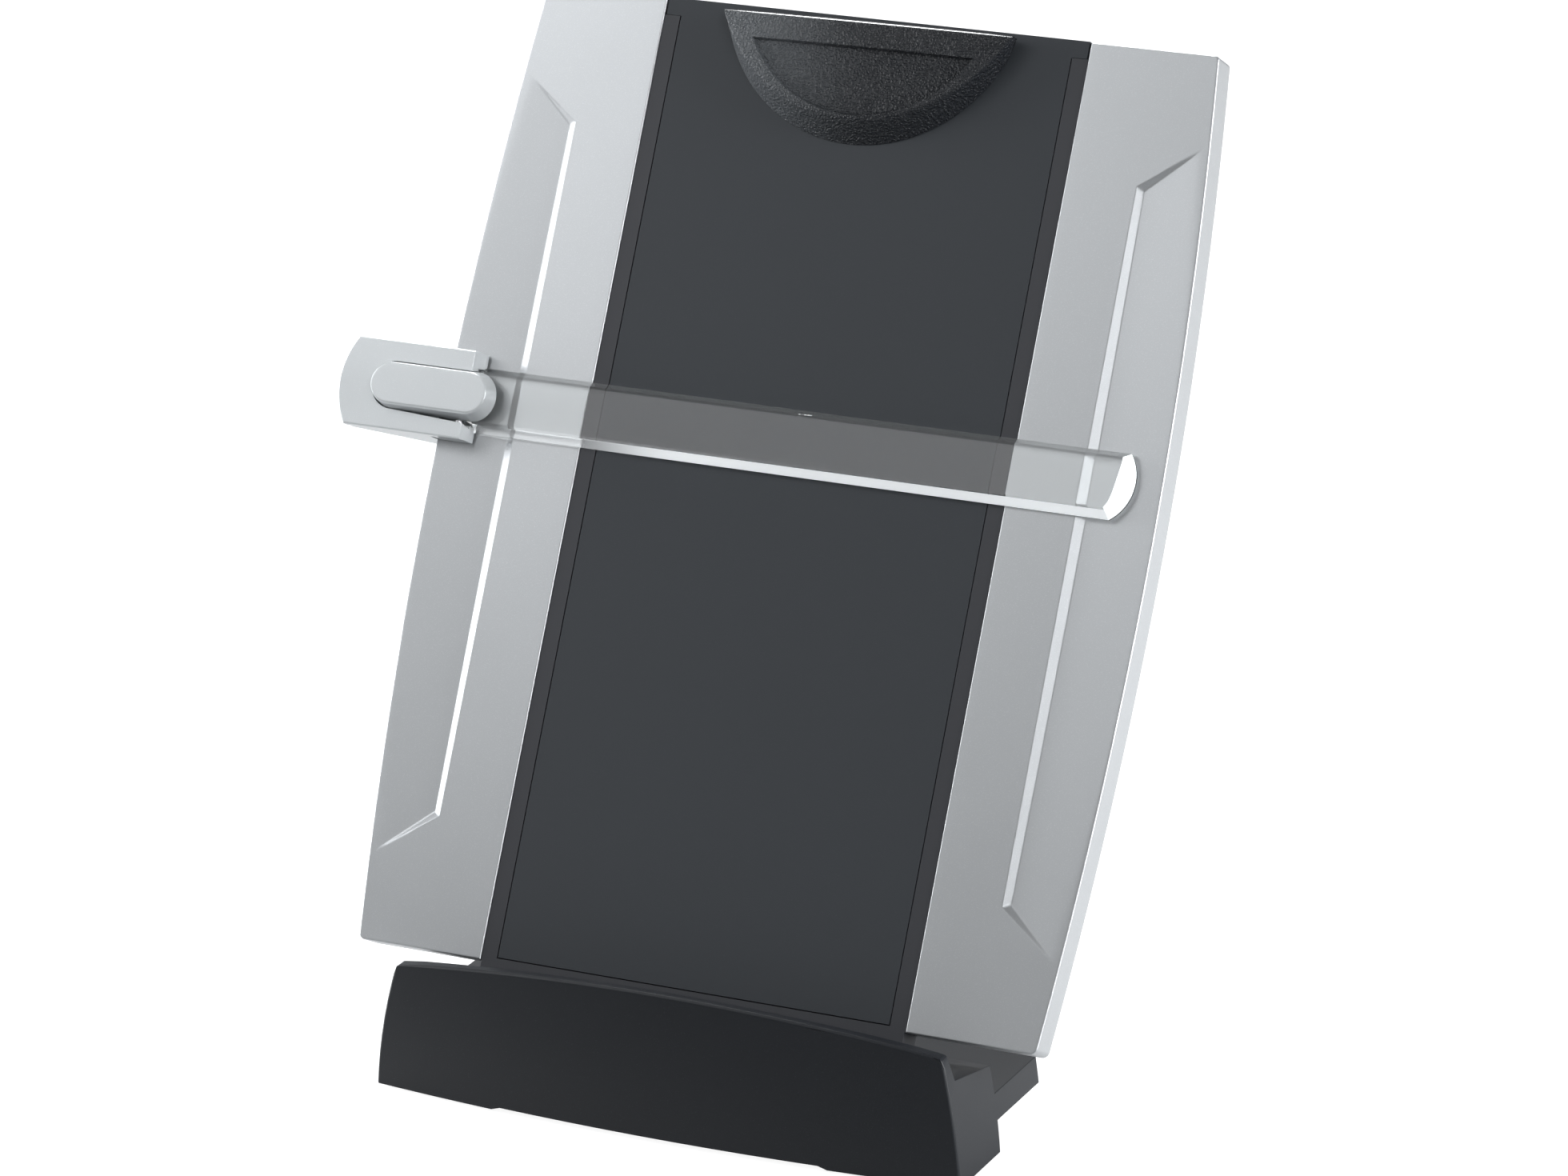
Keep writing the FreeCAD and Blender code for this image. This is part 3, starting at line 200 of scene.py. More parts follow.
# %% [markdown]
# ## Effect two: leather pebble
# The memo clip has a coarser, pebbled texture, like fine leather.  Voronoi
# cells are the usual way: the distance to a cell's middle is low on the
# pebble and high in the valleys, and a little noise on the coordinates keeps
# the cells from looking like a honeycomb.

# %% Pebble group
WARP = (0.6 * MM,) * 3
pebble, given, result, scale = group("pebbled_skin", [("Size mm", 1.0)], ["Height"])
warp = noise(pebble, given["Vector"], scale, 1.0, 0.5).outputs["Color"]
spread = node(pebble, "VectorMath", {0: warp, 1: WARP, 2: given["Vector"]}, operation="MULTIPLY_ADD")
cells = node(pebble, "TexVoronoi", {"Vector": spread.outputs[0], "Scale": scale, "Smoothness": 0.6},
             feature="SMOOTH_F1")
valley = ramp(pebble, cells.outputs["Distance"], 0.30, 0.62)
feed(pebble, result, {"Height": calc(pebble, "SUBTRACT", 1.0, valley)})
print("group:", pebble.name)

# %% [markdown]
# ## Effect three: tone and handling
# No moulding has one even colour.  Over a few centimetres the shade drifts a
# little and the gloss changes where hands have been.  One slow noise drives a
# mix of two tones, and the same noise is put out as a mask for the roughness.

# %% Tone group
tone, given, result, scale = group(
    "drifting_tone", [("Dark", (0.1, 0.1, 0.1, 1)), ("Light", (0.2, 0.2, 0.2, 1)), ("Size mm", 60.0)],
    ["Color", "Mask"])
slow = noise(tone, given["Vector"], scale, 3.0, 0.6).outputs["Fac"]
feed(tone, result, {"Color": blend(tone, slow, given["Dark"], given["Light"]), "Mask": slow})
print("group:", tone.name)

# %% [markdown]
# ## A material maker for moulded plastic
# Silver, black and panel plastics differ in numbers more than in structure:
# a drifting tone, flecks over it, a roughness that follows the tone, and a
# bump from the grain.  One function builds that tree, and each finish is then
# one call with its own values.

# %% Moulded plastic
def principled(name, values):
    """A Principled material, its tree, its shader and its object coordinates."""
    m = bpy.data.materials.new(name)
    m.use_nodes = True
    t = m.node_tree
    p = t.nodes["Principled BSDF"]
    feed(t, p, values)
    return m, t, p, node(t, "TexCoord").outputs["Object"]


def along_x(tree, vector, start, end, low=0.0, high=1.0):
    """Goes from low to high along X."""
    return ramp(tree, node(tree, "SeparateXYZ", {0: vector}).outputs["X"], start, end, low, high)


def moulded(name, dark, light, fleck_color, rough, rough_drift, grain_mm, bump_mm, fleck_amount=0.3,
            fleck_level=0.62, metallic=0.0, specular=0.5, drift_mm=60.0, pebble_mm=None, painted_sheen=None):
    """Principled plastic: tone plus flecks, drifting gloss, grain as bump.  A
    pebble size adds the leather pebble, and the sheen (from x, to x, colour)
    fades the tone to a paler one along X: a painted highlight, the side of the
    part that faces the light painted lighter."""
    m, t, p, where = principled(name, {"Metallic": metallic, "Specular IOR Level": specular})
    drift = place(t, tone, {"Vector": where, "Dark": (*dark, 1), "Light": (*light, 1), "Size mm": drift_mm})
    grains = place(t, grain, {"Vector": where, "Size mm": grain_mm, "Fleck level": fleck_level})
    amount = calc(t, "MULTIPLY", grains.outputs["Fleck"], fleck_amount)
    color = blend(t, amount, drift.outputs["Color"], (*fleck_color, 1))
    # painted highlight: the tone is blended to a paler colour along X
    if painted_sheen:
        color = blend(t, along_x(t, where, painted_sheen[0], painted_sheen[1]), color, (*painted_sheen[2], 1))
    height = grains.outputs["Height"]
    if pebble_mm:
        pebbles = place(t, pebble, {"Vector": where, "Size mm": pebble_mm})
        height = calc(t, "MULTIPLY_ADD", height, 0.25, pebbles.outputs["Height"])
    bump = node(t, "Bump", {"Strength": 1.0, "Distance": bump_mm * MM, "Height": height})
    gloss = ramp(t, drift.outputs["Mask"], 0.0, 1.0, rough - rough_drift, rough + rough_drift, "LINEAR")
    feed(t, p, {"Base Color": color, "Roughness": gloss, "Normal": bump.outputs["Normal"]})
    return m


silver = moulded(
    "silver_wing", (0.465, 0.478, 0.49), (0.515, 0.528, 0.54), (0.68, 0.69, 0.70),
    0.42, 0.05, 0.28, 0.012, fleck_amount=0.35, fleck_level=0.58, metallic=0.82)
silver_gloss = moulded(
    "silver_clamp", (0.53, 0.55, 0.56), (0.59, 0.61, 0.62), (0.74, 0.75, 0.76),
    0.34, 0.04, 0.28, 0.008, fleck_level=0.60, metallic=0.35)
black = moulded(
    "black_base", (0.0044, 0.0060, 0.0092), (0.0070, 0.0088, 0.0124), (0.045, 0.050, 0.058),
    0.48, 0.05, 0.35, 0.02, fleck_amount=0.22, specular=0.42)
frame_black = moulded(
    "black_frame", (0.033, 0.034, 0.040), (0.038, 0.040, 0.046), (0.075, 0.078, 0.086),
    0.55, 0.04, 0.30, 0.015, fleck_amount=0.15, fleck_level=0.64, specular=0.45, drift_mm=90.0)
sheet = moulded(
    "panel_sheet", (0.0275, 0.0315, 0.037), (0.0335, 0.0385, 0.045), (0.075, 0.080, 0.088),
    0.62, 0.04, 0.30, 0.02, fleck_amount=0.20, fleck_level=0.64, specular=0.45, drift_mm=90.0)
# the clip's tone is painted paler from X 6 mm to X -48 mm: a painted highlight of the light from the left
grained = moulded(
    "grained_clip", (0.0105, 0.012, 0.015), (0.0155, 0.0175, 0.0215), (0.09, 0.095, 0.105),
    0.40, 0.05, 0.40, 0.34, specular=0.32, pebble_mm=0.75, painted_sheen=(0.006, -0.048, (0.110, 0.119, 0.128)))
rubbed_edge = moulded(
    "rubbed_edge", (0.012, 0.014, 0.017), (0.016, 0.018, 0.022), (0.05, 0.05, 0.055),
    0.20, 0.04, 0.40, 0.004, fleck_amount=0.0, specular=0.6)
print("plastics:", [m.name for m in (silver, silver_gloss, black, frame_black, sheet, grained, rubbed_edge)])


# %% [markdown]
# ## Clear acrylic
# The ruler is cast acrylic.  Principled with full transmission and the real
# index of refraction is enough for the body of the bar.  Roughness varies a
# touch with a slow noise, as such a bar picks up fine rubbing marks.

# %% Acrylic
def clear(name, drift_mm, polish, values):
    """Acrylic whose roughness drifts between the two numbers of polish."""
    m, t, p, where = principled(name, {"IOR": 1.49, **values})
    drift = place(t, tone, {"Vector": where, "Size mm": drift_mm})
    feed(t, p, {"Roughness": ramp(t, drift.outputs["Mask"], 0.0, 1.0, *polish, "LINEAR")})
    return m, t, p, where


acrylic = clear("ruler_acrylic", 35.0, (0.0, 0.02), {
    "Base Color": (0.97, 0.98, 0.98, 1), "Transmission Weight": 1.0})[0]
print("acrylic:", acrylic.name)

# %% [markdown]
# The bevels of such a bar are milled and only flame polished, so they stay a
# little milky.  A second material for those faces lets part of the light
# through and scatters the rest; its near-white colour is partly that frost and
# partly a painted highlight, standing in for the light a clear bar gathers over
# its face and lets out where it is rough.  The faint glow is painted light too:
# the faces emit, though they are no lamp.  The opacity rises along the bar's own X.

# %% Milled bevel
# painted glow: the milled faces emit a faint light, and their near-white colour is partly frost, partly
# painted highlight
bevel_acrylic, t, p, where = clear("bevel_acrylic", 12.0, (0.08, 0.22), {
    "Base Color": (0.94, 0.96, 0.97, 1), "Transmission Weight": 0.05,
    "Emission Color": (0.95, 0.98, 1.0, 1), "Emission Strength": 0.32})
# the painted highlight fades out towards the clamp as the opacity falls along X
feed(t, p, {"Alpha": along_x(t, where, -0.082, -0.035, 0.10, 1.0)})
print("bevel:", bevel_acrylic.name)

# %% [markdown]
# ## Metals, nylon and rubber
# Screws, pins and springs are bright steel, the rail is a duller sheet metal,
# the runner is white nylon and the feet are soft rubber.  A plain colour would
# do for parts this small, but close up it looks like plastic, so they get the
# same grain at a finer size, and full metallic where it is due.

# %% Metals, nylon and rubber
steel = moulded(
    "bright_steel", (0.52, 0.52, 0.53), (0.60, 0.60, 0.61), (0.75, 0.75, 0.76),
    0.28, 0.06, 0.20, 0.004, metallic=1.0, drift_mm=8.0)
channel = moulded(
    "rail_metal", (0.60, 0.61, 0.62), (0.68, 0.69, 0.70), (0.80, 0.80, 0.81),
    0.36, 0.08, 0.25, 0.005, metallic=1.0, drift_mm=20.0)
nylon = moulded(
    "white_nylon", (0.68, 0.67, 0.63), (0.74, 0.73, 0.69), (0.80, 0.80, 0.78),
    0.45, 0.05, 0.40, 0.01, drift_mm=10.0)
rubber = moulded(
    "soft_rubber", (0.018, 0.018, 0.018), (0.028, 0.028, 0.028), (0.06, 0.06, 0.06),
    0.80, 0.06, 0.50, 0.04, specular=0.3, drift_mm=15.0)
print("small parts:", [m.name for m in (steel, channel, nylon, rubber)])

# %% [markdown]
# ## Dressing the solids
# Every solid gets a finish of its own, also where a finer piece is going to
# stand for it.  The material goes into the slots that came with the solid: an
# appended one would only be a further slot that no face uses.

# %% Finish of each carried-over part
FINISH = (
    (black, "base_shell base_cover rear_cover"), (frame_black, "centre_frame"), (sheet, "panel_insert"),
    (silver, "left_wing right_wing"), (silver_gloss, "holder_front holder_back press_lever"),
    (grained, "clip_jaw"), (acrylic, "line_bar"), (rubber, "front_foot rear_feet"), (nylon, "runner"),
    (channel, "guide_channel"), (steel, "base_screws cover_screws clamp_screws clip_pin pivot_pin"),
    (steel, "clip_spring brake_spring lever_spring"))
for finish, names in FINISH:
    for name in names.split():
        for slot in nodes[name].material_slots:
            slot.material = finish
print("dressed", sum(len(names.split()) for _, names in FINISH), "parts")

# %% [markdown]
# ## Surfaces from arrays
# The visible pieces are worked out as whole numpy arrays: points in, a mesh
# out.  Every body here is a stack of closed outlines with the same number of
# points, as in a lathe or a map's contour lines.  A front that carries relief
# is a grid, and its border is then the first outline of the stack.  Boolean
# cuts would be quicker to write, but they leave slivers that shade badly.


def settle(name, me, material, body, replaces, sharp):
    """Makes a finished mesh one object, smooth between its sharp edges, on
    its body and with its slot.  Normals are weighed by area, so that flat
    faces stay flat beside narrow eased ones."""
    me.polygons.foreach_set("use_smooth", np.ones(len(me.polygons), bool))
    me.set_sharp_from_angle(angle=sharp)
    me.materials.clear()
    me.materials.append(material)
    ob = bpy.data.objects.new(name, me)
    bpy.context.collection.objects.link(ob)
    weigh = ob.modifiers.new("weighed", "WEIGHTED_NORMAL")
    weigh.keep_sharp = True
    weigh.weight = 50
    if replaces:
        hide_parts(*replaces)
    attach(ob, body)
    return ob


# %% Mesh makers
MERGE, SLIVER = 2e-6, 1e-6


def merged(me):
    """A mesh opened for editing, its double points merged."""
    bm = bmesh.new()
    bm.from_mesh(me)
    bmesh.ops.remove_doubles(bm, verts=bm.verts, dist=MERGE)
    return bm


def written(bm, me):
    """Writes the edited mesh back and counts its open edges."""
    open_edges = sum(1 for e in bm.edges if not e.is_manifold)
    bm.to_mesh(me)
    bm.free()
    return open_edges


def make_mesh(name, points, faces, material, body, replaces=(), sharp=35.0):
    """A settled piece of points and faces, which are turned outwards."""
    me = bpy.data.meshes.new(name)
    me.from_pydata(points.reshape(-1, 3).tolist(), [], faces)
    bm = merged(me)
    bmesh.ops.dissolve_degenerate(bm, edges=bm.edges, dist=SLIVER)
    bmesh.ops.recalc_face_normals(bm, faces=bm.faces)
    open_edges = written(bm, me)
    print("%s: %d faces, %d open edges" % (name, len(me.polygons), open_edges))
    return settle(name, me, material, body, replaces, radians(sharp))


def refinish(ob, material, chosen):
    """Gives a further material to each face where chosen(out, mid) says so:
    its normal and its middle, both in the directions of the board frame."""
    ob.data.materials.append(material)
    for face in ob.data.polygons:
        x, y, z = face.normal
        out = x, y * cos(TILT) + z * sin(TILT), z * cos(TILT) - y * sin(TILT)
        face.material_index = int(chosen(out, off_board(np.array([face.center]))[0]))
    print("%s on %d faces" % (material.name, sum(face.material_index for face in ob.data.polygons)))


def quads(index):
    """Faces between neighbouring rows and columns of an index grid."""
    corners = index[:-1, :-1], index[:-1, 1:], index[1:, 1:], index[1:, :-1]
    return np.stack(corners, -1).reshape(-1, 4).tolist()


def ring_faces(levels, count, start=0):
    """Faces of a tube of closed outlines with the same count of points."""
    index = start + np.arange(levels * count).reshape(levels, count)
    return quads(np.concatenate([index, index[:, :1]], axis=1))


def rings(name, stack, material, body, replaces=(), sharp=35.0):
    """Closed outlines joined in their order; the first and the last are capped."""
    levels, count = stack.shape[:2]
    faces = ring_faces(levels, count)
    faces += [list(range(count))[::-1], list(range((levels - 1) * count, levels * count))]
    return make_mesh(name, stack, faces, material, body, replaces, sharp)


def border(grid):
    """The points around a grid, once round."""
    return np.concatenate([grid[0, :-1], grid[:-1, -1], grid[-1, :0:-1], grid[:0:-1, 0]])


def fronted(name, grid, stack, material, body, replaces):
    """A front grid whose border goes on as a stack of outlines, capped last."""
    rows, cols = grid.shape[:2]
    index = np.arange(rows * cols).reshape(rows, cols)
    edge = border(index)
    count, base = len(edge), rows * cols
    faces = quads(index)
    below = base + np.arange(count)
    faces += np.stack([edge, below, np.roll(below, -1), np.roll(edge, -1)], -1).tolist()
    faces += ring_faces(len(stack), count, base)
    faces.append(list(range(base + (len(stack) - 1) * count, base + len(stack) * count)))
    points = np.concatenate([grid.reshape(-1, 3), stack.reshape(-1, 3)])
    return make_mesh(name, points, faces, material, body, replaces)


def soft_min(a, b, r):
    """The smaller of two heights with a fillet of about r where they cross:
    half of a plus b less the root of their difference squared plus r squared."""
    return 0.5 * (a + b - np.sqrt((a - b) ** 2 + r * r))


def soft_max(a, b, r):
    return -soft_min(-a, -b, r)


def stretches(*parts):
    """Places along a line; each stretch is (from, to, count)."""
    return np.unique(np.concatenate([np.linspace(a, b, n) for a, b, n in parts]).round(5))


def inset(points, d):
    """A closed flat outline drawn in by d along its own normals."""
    run = np.roll(points, -1, 0) - np.roll(points, 1, 0)
    out = np.stack([-run[:, 1], run[:, 0]], -1)
    out /= np.linalg.norm(out, axis=1, keepdims=True) + 1e-12
    sign = np.sign(((points.mean(0) - points) * out).sum(1))
    return points + out * np.where(np.abs(sign) > 0, sign, 1)[:, None] * d


# %% [markdown]
# ## The silver wings
# Each wing is a moulded plate with a bowed outer edge.  Along that edge a long
# wedge is sunk for the fingers: its inner crest is straight, its ends flare
# out at an angle, and its floor rises to nothing at the edge, or a little
# before it near the ends.  The front is a height over two parameters.
# Columns run along the board, rows run across it and bend with the flared
# ends, so that every crease lies on grid lines.

# %% Wing sizes and height
HALF_W, BOW_R, BOW_MID, WING_H, BOARD_T = 120.0, 1592.0, 148.6, 304.4, 10.3
WING_IN, PROUD, SKIRT = 71.05, 0.3, 2.4
CREST_X, CREST_LOW, CREST_TOP = 94.0, 41.5, 262.1
WEDGE_DEPTH, WEDGE_BEVEL, FLARE = 1.6, 2.9, tan(radians(35.3))
CORNER_LOW, CORNER_TOP, ROUND = 1.9, 1.2, 0.45
COVER_IN = -8.5


def bow(v):
    """Outer edge = circle of radius BOW_R through the widest point."""
    return HALF_W - BOW_R + np.sqrt(BOW_R ** 2 - (v - BOW_MID) ** 2)


def wing_edge(v):
    """The bow, less the quarter circles of the two corners."""
    low = np.clip(CORNER_LOW - v, 0, CORNER_LOW)
    top = np.clip(v - (WING_H - CORNER_TOP), 0, CORNER_TOP)
    return (bow(v) - (CORNER_LOW - np.sqrt(CORNER_LOW ** 2 - low ** 2))
            - (CORNER_TOP - np.sqrt(CORNER_TOP ** 2 - top ** 2)))


def wing_rim(x, v):
    """Distance in from the nearest border, measured from the corner circles' middles."""
    d = np.minimum(np.minimum(bow(v) - x, x - WING_IN), np.minimum(v, WING_H - v))
    for r, dv in ((CORNER_LOW, CORNER_LOW - v), (CORNER_TOP, v - (WING_H - CORNER_TOP))):
        dx = x - (bow(v) - r)
        d = np.where((dx > 0) & (dv > 0), np.minimum(d, r - np.hypot(dx, dv)), d)
    return np.maximum(d, 0.0)


def wing_height(x, v):
    """Height over the board = face less wedge less rounded rim.  The wedge is
    as deep as its bevel or its floor, whichever is less, softly joined."""
    turn = 1 / sqrt(1 + FLARE ** 2)
    low = (v - CREST_LOW + (x - CREST_X) * FLARE) * turn
    top = (CREST_TOP + (x - CREST_X) * FLARE - v) * turn
    inside = np.minimum(np.minimum(x - CREST_X, low), top)
    run_out = HALF_W - 8.5 * ((v - BOW_MID) / 128.0) ** 2
    floor = WEDGE_DEPTH * (run_out - x) / (HALF_W - CREST_X - WEDGE_BEVEL)
    depth = soft_max(soft_min(inside * WEDGE_DEPTH / WEDGE_BEVEL, floor, 0.06), 0.0, 0.04) - 0.012
    rim = np.minimum(wing_rim(x, v), ROUND)
    rounded = ROUND - np.sqrt(np.maximum(ROUND ** 2 - (ROUND - rim) ** 2, 0))
    return PROUD - np.maximum(depth, 0.0) - rounded


print("a wing is %.2f mm wide in the middle" % (bow(BOW_MID) - WING_IN))

# %% Wing bodies
def wing(name, side):
    near, pinned, far = WING_IN + ROUND, 97.6, 118.0
    across = np.concatenate([near - ROUND * np.cos(np.linspace(0, pi / 2, 5)), stretches(
        (near, 93.4, 8), (93.4, 94.4, 7), (94.4, 96.2, 5), (96.2, pinned, 8), (pinned, far, 16))[1:],
        far + 2 * np.sin(np.linspace(0, pi / 2, 7))[1:]])
    along = np.concatenate([CORNER_LOW * (1 - np.cos(np.linspace(0, pi / 2, 14))), stretches(
        (CORNER_LOW, 40.8, 14), (40.8, 42.0, 7), (42.0, 44.4, 6), (44.4, 46.0, 8), (46.0, 258.0, 44),
        (258.0, 259.2, 8), (259.2, 261.6, 6), (261.6, 262.8, 7), (262.8, WING_H - CORNER_TOP, 14))[1:],
        WING_H - CORNER_TOP * (1 - np.cos(np.linspace(pi / 2, 0, 12)))[1:]])
    beside = np.array([-0.02, 0.02])
    along = np.unique(np.concatenate([along, SKIRT + beside, WING_H - SKIRT + beside]))
    # rows lie along the flares at the wedge's ends and level elsewhere
    turns = 8, CREST_LOW - 2, CREST_LOW + 5, 110, 195, CREST_TOP - 5, CREST_TOP + 2, WING_H - 6
    bend = np.interp(along, turns, (0, -1, -1, 0, 0, 1, 1, 0))
    v = along[:, None] + bend[:, None] * FLARE * np.clip(across[None, :] - CREST_X, 0, None)
    # beyond the crest's bevel the columns spread out to the bowed edge
    t = np.clip((across - pinned) / (HALF_W - pinned), 0, 1)[None, :]
    x = across[None, :] + t * (wing_edge(v) - HALF_W)
    grid = on_board(side * x, v, wing_height(x, v))
    flat = border(np.stack([x, v], -1))
    inner = (flat[:, 0] < WING_IN + 0.01) & (flat[:, 1] > SKIRT) & (flat[:, 1] < WING_H - SKIRT)
    rear = np.where(inner, COVER_IN, -BOARD_T)
    wall = inset(flat, SKIRT)
    stack = [on_board(side * flat[:, 0], flat[:, 1], rear), on_board(side * wall[:, 0], wall[:, 1], rear),
             on_board(side * wall[:, 0], wall[:, 1], -3.6)]
    return fronted(name, grid, np.stack(stack), silver, "board", [name.replace("_skin", "")])


wing("left_wing_skin", -1)
wing("right_wing_skin", 1)

# %% [markdown]
# ## The memo clip
# The jaw is a shell with a D-shaped outline: straight at the top, an arc
# below.  Its wall leans in, its crown is rounded, and a scoop for the thumb is
# sunk into it, deepest under its straight edge.  All of that is one stack of D
# outlines, from the underside's rim out and up the wall, over the crown, down
# into the scoop and in to its middle.  Each outline is then laid on a dome,
# since the jaw is lower towards its ends, and its heel is relieved by a slope,
# so that it swings clear of the panel when the clip opens.

# %% Clip outlines
CLIP_TOP, CLIP_LOW, CLIP_HALF, CLIP_H, CLIP_RUN = 302.0, 264.65, 48.6, 8.2, 0.4
OFF_CENTRE, ASKEW, LEVEL_S = -1.05, 0.0097, -26.0
DOME, END_FALL, DOME_FOOT, SPREAD = 1.3, 1.0, 0.6, 0.35
HEEL_V, HEEL_SLOPE = 295.4, tan(radians(22.5))
SCOOP_TOP, SCOOP_MID, SCOOP_LOW, SCOOP_HALF, SCOOP_DEEP, SCOOP_LIP = 293.5, 286.0, 272.4, 36.3, 2.0, 1.1


def dee(half, top, low, count=96, flat=40):
    """D outline: an arc through three points, then the straight line back.
    Radius = half width squared plus drop squared, over twice the drop."""
    drop = top - low
    r = (half ** 2 + drop ** 2) / (2 * drop)
    reach = np.arctan2(half, r - drop)
    a = np.linspace(-reach, reach, count)
    s = np.concatenate([r * np.sin(a), np.linspace(half, -half, flat)[1:-1]])
    v = np.concatenate([low + r - r * np.cos(a), np.full(flat - 2, top)])
    return s, v


def laid(s, v, n):
    """On the board, a hair askew: v grows with s, as a sprung jaw settles on
    its pin.  The jaw is domed: its height falls off with the square of s, and
    faster near the ends, with the eighth power."""
    rise = np.clip((n - DOME_FOOT) / (CLIP_H - DOME_FOOT), 0, 1)
    fall = (DOME * (s / CLIP_HALF) ** 2 + END_FALL * (s / CLIP_HALF) ** 8) * rise
    return on_board(s + SPREAD * fall * np.sign(s), v + ASKEW * (s - LEVEL_S), n - fall)


def clip_ring(half, top, low, n, side=OFF_CENTRE):
    """One outline, but not lower than the heel's relief, a slope that lets
    the jaw's rear end swing down by 20 degrees when it opens."""
    s, v = dee(half, top, low)
    return laid(s + side, v, np.maximum(n, CLIP_RUN + (v - HEEL_V) * HEEL_SLOPE))


def scoop_floor(v):
    """The scoop's floor rises from its straight edge down to its arc."""
    return CLIP_H - np.interp(v, (SCOOP_LOW - 1, SCOOP_TOP + 1), (SCOOP_LIP, SCOOP_DEEP))


print("the jaw is %.2f x %.2f mm" % (2 * CLIP_HALF, CLIP_TOP - CLIP_LOW))


# %% Clip body
def clip():
    # underside: from the middle out to the wall, which is 2 mm thick
    stack = [clip_ring(*ring) for ring in (
        (10, 285, 280, 3.6), (40, 291, 274, 3.6), (45.4, 298.0, 272.4, 3.4),
        (46.6, 299.8, 267.2, 0.9), (48.0, 300.0, 266.6, 0.5), (48.3, 301.7, 264.95, 0.5))]
    # wall and crown: the wall leans in by 6.3 below and 1.3 at the sides, and
    # the upper end has a narrow flat bevel of its own
    for q in np.concatenate([np.linspace(0.0, 0.62, 8), np.linspace(0.66, 1.32, 16), [1.5]]):
        fillet = 0.75 * (1.52 - min(q, 1.5)) / 0.52 if q > 1 else 0.75
        n = soft_min(CLIP_RUN + (CLIP_H - CLIP_RUN) * q, CLIP_H, fillet)
        top = CLIP_TOP - 0.9 * np.clip((q - 0.86) / 0.2, 0, 1)
        low = CLIP_LOW + 6.3 * min(q, 1.15) + 0.4 * max(q - 1.15, 0)
        stack.append(clip_ring(CLIP_HALF - 1.3 * q, top, low, n, OFF_CENTRE + 0.6 * min(q, 1.3)))
    # rim of the scoop: a soft lip, then down its wall to the sloping floor
    for out, deep in ((0.40, 0.0), (0.18, 0.05), (0.05, 0.16), (0.0, 0.32), (-0.15, 0.8), (-0.4, 0.97),
                      (-0.8, 1.0)):
        s, v = dee(SCOOP_HALF + out, SCOOP_TOP + 0.8 * out, SCOOP_LOW - out)
        stack.append(laid(s, v, CLIP_H - deep * (CLIP_H - scoop_floor(v))))
    for k in (0.9, 0.7, 0.45, 0.2, 0.02):
        s, v = dee(SCOOP_HALF, SCOOP_TOP, SCOOP_LOW)
        s, v = s * k, SCOOP_MID + (v - SCOOP_MID) * k
        stack.append(laid(s, v, scoop_floor(v)))
    return rings("clip_cover", np.stack(stack), grained, "clip", ["clip_jaw"], sharp=40.0)


# the narrow bevel along the upper edge is rubbed smooth by paper
refinish(clip(), rubbed_edge, lambda out, mid: 0.3 < out[1] < 0.97 and mid[1] > 299.5)

# %% [markdown]
# ## The ruler
# The line guide is a clear bar: flat at the rear, bevelled all round in front,
# with a round free end and a tab that reaches into the clamp.  Eight outlines
# carry it: rear, edge, bevel and face, and a few more that ease the corners
# between them, so that they catch light the way polished acrylic does.

# %% Ruler body
GRIP_V, BAR_LOW, BAR_TOP, BAR_END = 171.35, 160.6, 181.2, 111.5
BAR_BACK, BAR_EDGE_N, BAR_FACE = 0.6, 1.6, 5.0
BAR_START, BAR_LEFT, TAB_HALF, END_R, END_UP = -108.9, -107.1, 8.05, 14.5, 1.2


def ruler_outline(low, top, end, tab):
    """Lower edge, round end, upper edge, then the tab.  The end is a circle's
    arc drawn in by end times (1 - 0.75 u squared), u being -1 to 1 over its
    height, so that the bevel there is a lens, widest in the middle."""
    cy, r, cx = GRIP_V + END_UP, END_R, BAR_END - END_R
    v0, v1 = BAR_LOW + low, BAR_TOP - top
    a = np.linspace(np.arcsin((BAR_LOW - cy) / r), np.arcsin((BAR_TOP - cy) / r), 40)
    u = 2 * (cy + r * np.sin(a) - BAR_LOW) / (BAR_TOP - BAR_LOW) - 1
    end_s = cx + r * np.cos(a) - end * (1 - 0.75 * u * u)
    s = [np.linspace(BAR_LEFT, end_s[0], 60)[:-1], end_s, np.linspace(end_s[-1], BAR_LEFT, 60)[1:]]
    v = [np.full(59, v0), v0 + (u + 1) / 2 * (v1 - v0), np.full(59, v1)]
    tab_s = [BAR_LEFT, BAR_START, BAR_START, BAR_LEFT]
    tab_v = [GRIP_V + tab, GRIP_V + tab, GRIP_V - tab, GRIP_V - tab]
    return np.concatenate(s + [tab_s]), np.concatenate(v + [tab_v])


def ruler():
    stack = []
    for low, top, end, n in (
            (0.12, 0.12, 0.12, BAR_BACK), (0.0, 0.0, 0.0, BAR_BACK + 0.12),
            (0.0, 0.0, 0.0, BAR_EDGE_N - 0.1), (0.12, 0.08, 0.16, BAR_EDGE_N + 0.08),
            (2.45, 1.36, 3.84, BAR_FACE - 0.79), (3.06, 1.70, 4.80, BAR_FACE - 0.10),
            (3.2, 1.8, 5.0, BAR_FACE - 0.02), (3.4, 2.0, 5.3, BAR_FACE)):
        s, v = ruler_outline(low, top, end, TAB_HALF - 0.03 * n)
        stack.append(on_board(s, v, n + 0 * s))
    return rings("clear_ruler", np.stack(stack), acrylic, "guide", ["line_bar"], sharp=20.0)


def milled(out, mid):
    """The faces that slant, below the bar's face or at its free end."""
    below = out[1] < -0.3 and mid[2] < BAR_FACE - 0.8
    return 0.3 < out[2] < 0.95 and (below or out[0] > 0.3) and mid[0] > BAR_LEFT


refinish(ruler(), bevel_acrylic, milled)

